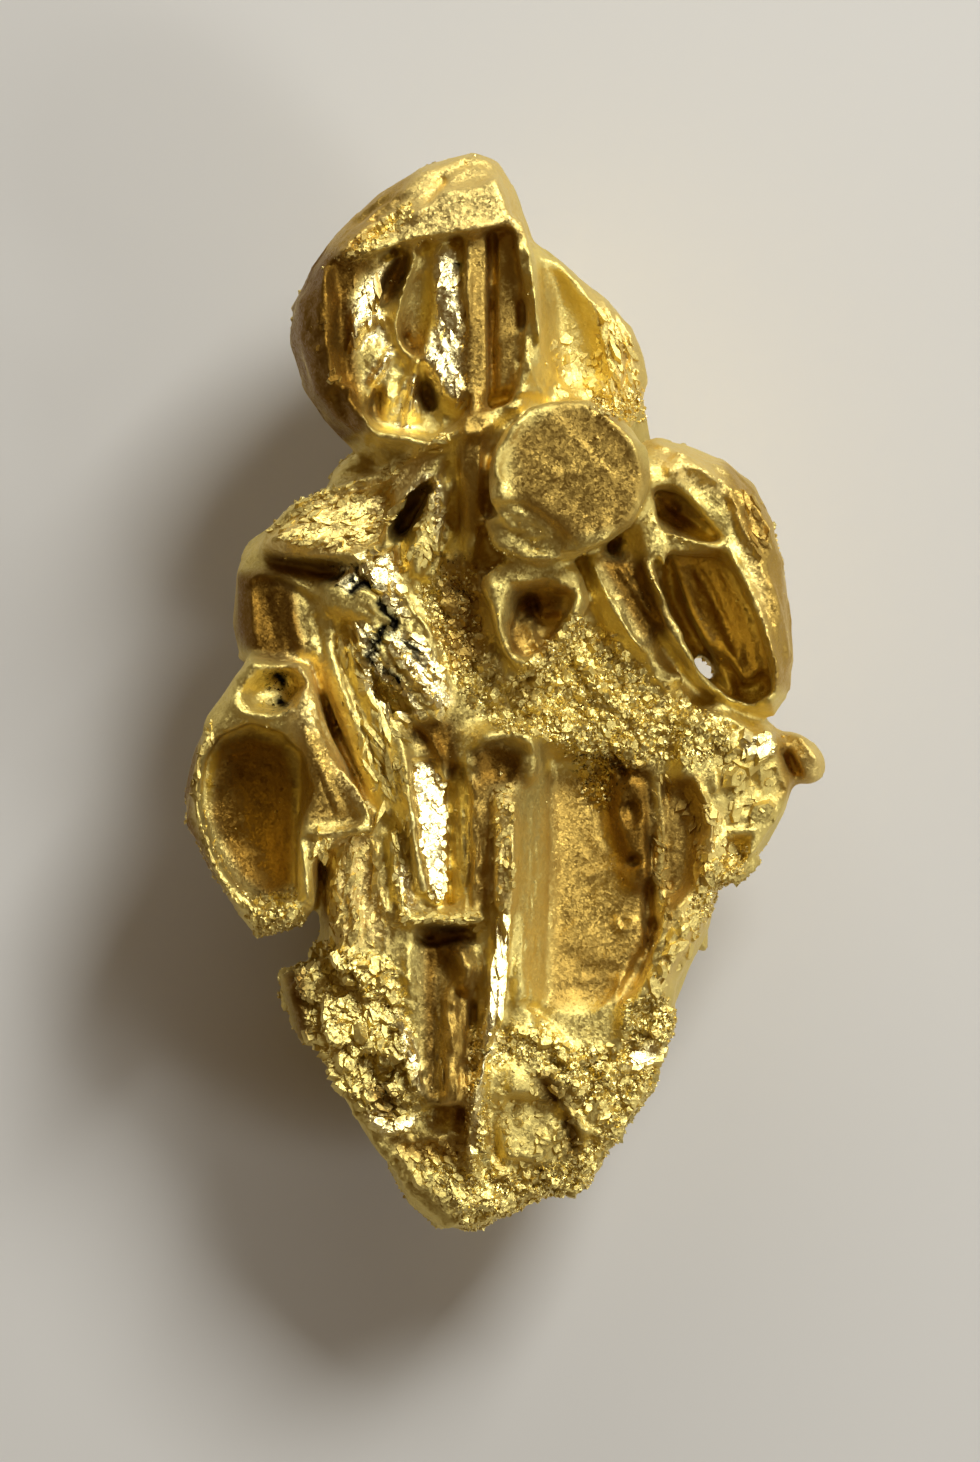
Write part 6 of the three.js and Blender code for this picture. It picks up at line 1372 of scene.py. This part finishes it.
gold = {
    "yellow": "#efd881",  # clean metal, a little silver in it
    "pale": "#f6e3a2",  # thin bright leaves
    "paintedShade": "#866325",  # painted shade: darkens the hollows, pits and shells turned from the key light
    "paintedHalfShade": "#bf9d4e",  # painted shade, lighter than the brown: dulls satin faces to brown-gold
    "sandy": "#e9ce7e",  # fine rough skin, a shade redder
    "olive": "#d8c272",  # handled, dulled faces
    "blackDustAndShade": "#17130c",  # near-black: dark dust specks, and painted shade in cracks and pits
    "poreWidth": 0.03,  # mm, fine matt skin
    "poreBump": (0.6, 0.012),  # strength, and mm deep
    "patchWidth": 1.1,  # mm, duller and cleaner patches
    "speckWidth": 0.07,  # mm, dark dust
    "satin": (0.46, 0.6),  # roughness of clean and of dull patches
    "leafRoughness": 0.33,
    "sugarRoughness": 0.3,
    "faceSpread": 0.08,  # how far each small face's roughness differs
    # the small flat faces: width in mm, and how far they lean on satin, sandy and sugary skin
    "faces": [(0.09, 0.06, 0.14, 0.4), (0.035, 0.3, 0.42, 0.7)],
}


# native gold as it grew: warm yellow metal, satin to sugary, with leafy bright parts; brown, tan and
# near-black painted shade laid over it
def nativeGold():
    material = bpy.data.materials.new("nativeGold")
    material.use_nodes = True
    tree = material.node_tree
    shader = tree.nodes["Principled BSDF"]
    shader.inputs["Metallic"].default_value = 1.0
    place = addNode(tree, "ShaderNodeTexCoord")
    inMillimetres = addNode(tree, "ShaderNodeMapping", {"Scale": [1 / millimetre] * 3},
                            {"Vector": place.outputs["Object"]})
    where = inMillimetres.outputs["Vector"]
    sugary, sandy, bright, paintedShade, paintedHalfShade, dusted, paintedCreaseShade = [
        addNode(tree, "ShaderNodeAttribute", {"attribute_name": name}).outputs["Fac"]
        for name in ("sugary", "sandy", "bright", "paintedShade", "paintedHalfShade", "dusted", "paintedCreaseShade")]

    def blend(amount, low, high):
        return addNode(tree, "ShaderNodeMapRange", {"To Min": low, "To Max": high},
                       {"Value": amount}).outputs["Result"]

    def tint(amount, under, colour):
        mix = addNode(tree, "ShaderNodeMix", {"data_type": "RGBA", 7: linearColour(colour)},
                      {0: amount, 6: under})
        return mix.outputs[2]

    patches = addNode(tree, "ShaderNodeTexNoise", {"Scale": 1 / gold["patchWidth"], "Detail": 4.0,
                                                   "Roughness": 0.6}, {"Vector": where})
    pores = addNode(tree, "ShaderNodeTexNoise", {"Scale": 1 / gold["poreWidth"], "Detail": 3.0,
                                                 "Roughness": 0.6}, {"Vector": where})

    # colour: yellow with olive patches, sandy where finely rough, pale where bright
    dull = addNode(tree, "ShaderNodeMapRange", {"From Min": 0.4, "From Max": 0.65},
                   {"Value": patches.outputs["Fac"]})
    clean = addNode(tree, "ShaderNodeMix", {"data_type": "RGBA", 6: linearColour(gold["yellow"]),
                                            7: linearColour(gold["olive"])}, {0: dull.outputs["Result"]})
    colour = tint(sandy, clean.outputs[2], gold["sandy"])
    colour = tint(bright, colour, gold["pale"])
    # painted shade: tan dulls the satin faces to brown-gold
    colour = tint(paintedHalfShade, colour, gold["paintedHalfShade"])
    # painted shade: brown over the hollows, pits and shells turned from the key light
    colour = tint(paintedShade, colour, gold["paintedShade"])
    specks = addNode(tree, "ShaderNodeTexNoise", {"Scale": 1 / gold["speckWidth"], "Detail": 3.0,
                                                  "Roughness": 0.7}, {"Vector": where})
    speckCut = addNode(tree, "ShaderNodeMapRange", {"From Min": 0.57, "From Max": 0.61},
                       {"Value": specks.outputs["Fac"]})
    dust = addNode(tree, "ShaderNodeMath", {"operation": "MULTIPLY"},
                   {0: speckCut.outputs["Result"], 1: dusted})
    colour = tint(dust.outputs["Value"], colour, gold["blackDustAndShade"])
    # painted shade: near-black along the cracks, pits and stripes
    colour = tint(paintedCreaseShade, colour, gold["blackDustAndShade"])
    tree.links.new(colour, shader.inputs["Base Color"])

    # relief finer than the mesh: pores everywhere, then small flat faces each with its own tilt
    strength, deep = gold["poreBump"]
    poreBump = addNode(tree, "ShaderNodeBump", {"Strength": strength, "Distance": deep * millimetre},
                       {"Height": pores.outputs["Fac"]})
    normal = poreBump.outputs["Normal"]
    for width, onSatin, onSand, onSugar in gold["faces"]:
        warped = addNode(tree, "ShaderNodeVectorMath",
                         {"operation": "MULTIPLY_ADD", 1: [width * 0.5] * 3}, {0: pores.outputs["Color"],
                                                        2: where})
        faces = addNode(tree, "ShaderNodeTexVoronoi", {"Scale": 1 / width},
                        {"Vector": warped.outputs["Vector"]})
        centred = addNode(tree, "ShaderNodeVectorMath", {"operation": "SUBTRACT", 1: [0.5] * 3},
                          {0: faces.outputs["Color"]})
        lean = addNode(tree, "ShaderNodeMath", {"operation": "MAXIMUM"},
                       {0: blend(sandy, onSatin, onSand), 1: blend(sugary, onSatin, onSugar)})
        tilt = addNode(tree, "ShaderNodeVectorMath", {"operation": "SCALE"},
                       {0: centred.outputs["Vector"], "Scale": lean.outputs["Value"]})
        leaned = addNode(tree, "ShaderNodeVectorMath", {"operation": "ADD"},
                         {0: normal, 1: tilt.outputs["Vector"]})
        normal = addNode(tree, "ShaderNodeVectorMath", {"operation": "NORMALIZE"},
                         {0: leaned.outputs["Vector"]}).outputs["Vector"]
    tree.links.new(normal, shader.inputs["Normal"])

    # gloss: satin in patches, sharper on the bright leaves and the sugar
    clear, dulled = gold["satin"]
    satin = addNode(tree, "ShaderNodeMapRange", {"From Min": 0.3, "From Max": 0.7, "To Min": clear,
                                                 "To Max": dulled}, {"Value": patches.outputs["Fac"]})
    leafy = addNode(tree, "ShaderNodeMix", {"data_type": "FLOAT", 3: gold["leafRoughness"]},
                    {0: bright, 2: satin.outputs["Result"]})
    sugarGloss = addNode(tree, "ShaderNodeMix", {"data_type": "FLOAT", 3: gold["sugarRoughness"]},
                         {0: sugary, 2: leafy.outputs[0]})
    each = addNode(tree, "ShaderNodeSeparateColor", {}, {"Color": faces.outputs["Color"]})
    differ = gold["faceSpread"]
    spread = addNode(tree, "ShaderNodeMapRange", {"To Min": -differ, "To Max": differ},
                     {"Value": each.outputs["Red"]})
    gloss = addNode(tree, "ShaderNodeMath", {"operation": "ADD"},
                    {0: sugarGloss.outputs[0], 1: spread.outputs["Result"]})
    tree.links.new(gloss.outputs["Value"], shader.inputs["Roughness"])
    return material


nativeMetal = nativeGold()
for piece in (crystal, crystalSugar, crystalPlates):
    piece.data.materials.clear()
    piece.data.materials.append(nativeMetal)

# stage: pale floor, soft lights, camera straight above
stage = {
    "floor": 0.3,  # m across
    "floorColour": "#cfcac2",
    "floorRoughness": 0.9,
    "lampColour": (0.92, 0.97, 1.0),
    "surroundings": "#a88a5c",
    "surroundingsStrength": 0.3,
    "distance": 0.12,  # m from the floor to the camera
    "frontHeight": 0.0024,  # m above the floor, where the frame's size is taken
    "sensor": 36,  # mm
    "frame": (980, 1462),  # the render's full width and height
    "perMillimetre": 72,  # of the same steps, at that height
    "crystalMiddle": (505.5, 696),  # where it lies in the frame, across and down
}

bpy.ops.mesh.primitive_plane_add(size=stage["floor"], location=(0, 0, 0))
floor = bpy.context.object
floor.name = "floor"
paper = bpy.data.materials.new("paleCard")
paper.use_nodes = True
paperShader = paper.node_tree.nodes["Principled BSDF"]
paperShader.inputs["Base Color"].default_value = linearColour(stage["floorColour"])
paperShader.inputs["Roughness"].default_value = stage["floorRoughness"]
floor.data.materials.append(paper)


def softLight(name, place, size, power, target=(0, 0, 0.003)):
    bpy.ops.object.light_add(type="AREA", location=place)
    lamp = bpy.context.object
    lamp.name = name
    lamp.data.shape = "RECTANGLE"
    lamp.data.size, lamp.data.size_y = size
    lamp.data.energy = power
    lamp.data.color = stage["lampColour"]
    aim = Vector(target) - Vector(place)
    lamp.rotation_euler = aim.to_track_quat("-Z", "Y").to_euler()
    return lamp


softLight("keyLight", (0.06, 0.085, 0.1), (0.05, 0.05), 0.205)
softLight("topLight", (-0.01, 0.12, 0.06), (0.08, 0.03), 0.04)
softLight("sideLight", (0.11, -0.06, 0.08), (0.03, 0.08), 0.06)

world = bpy.data.worlds.new("studio")
scene.world = world
world.use_nodes = True
background = world.node_tree.nodes["Background"]
background.inputs["Color"].default_value = linearColour(stage["surroundings"])
background.inputs["Strength"].default_value = stage["surroundingsStrength"]

bpy.ops.object.camera_add(location=(0, 0, stage["distance"]))
camera = bpy.context.object
camera.rotation_euler = (0, 0, 0)
camera.data.sensor_width = stage["sensor"]
frameWidth, frameHeight = stage["frame"]
middleAcross, middleDown = stage["crystalMiddle"]
viewHeight = frameHeight / stage["perMillimetre"] * millimetre
camera.data.lens = stage["sensor"] * (stage["distance"] - stage["frontHeight"]) / viewHeight
camera.data.clip_start = 0.01
camera.data.clip_end = 1.0
# the crystal's middle lies a little off the frame's middle
camera.data.shift_x = (frameWidth / 2 - middleAcross) / frameHeight
camera.data.shift_y = (middleDown - frameHeight / 2) / frameHeight
scene.camera = camera
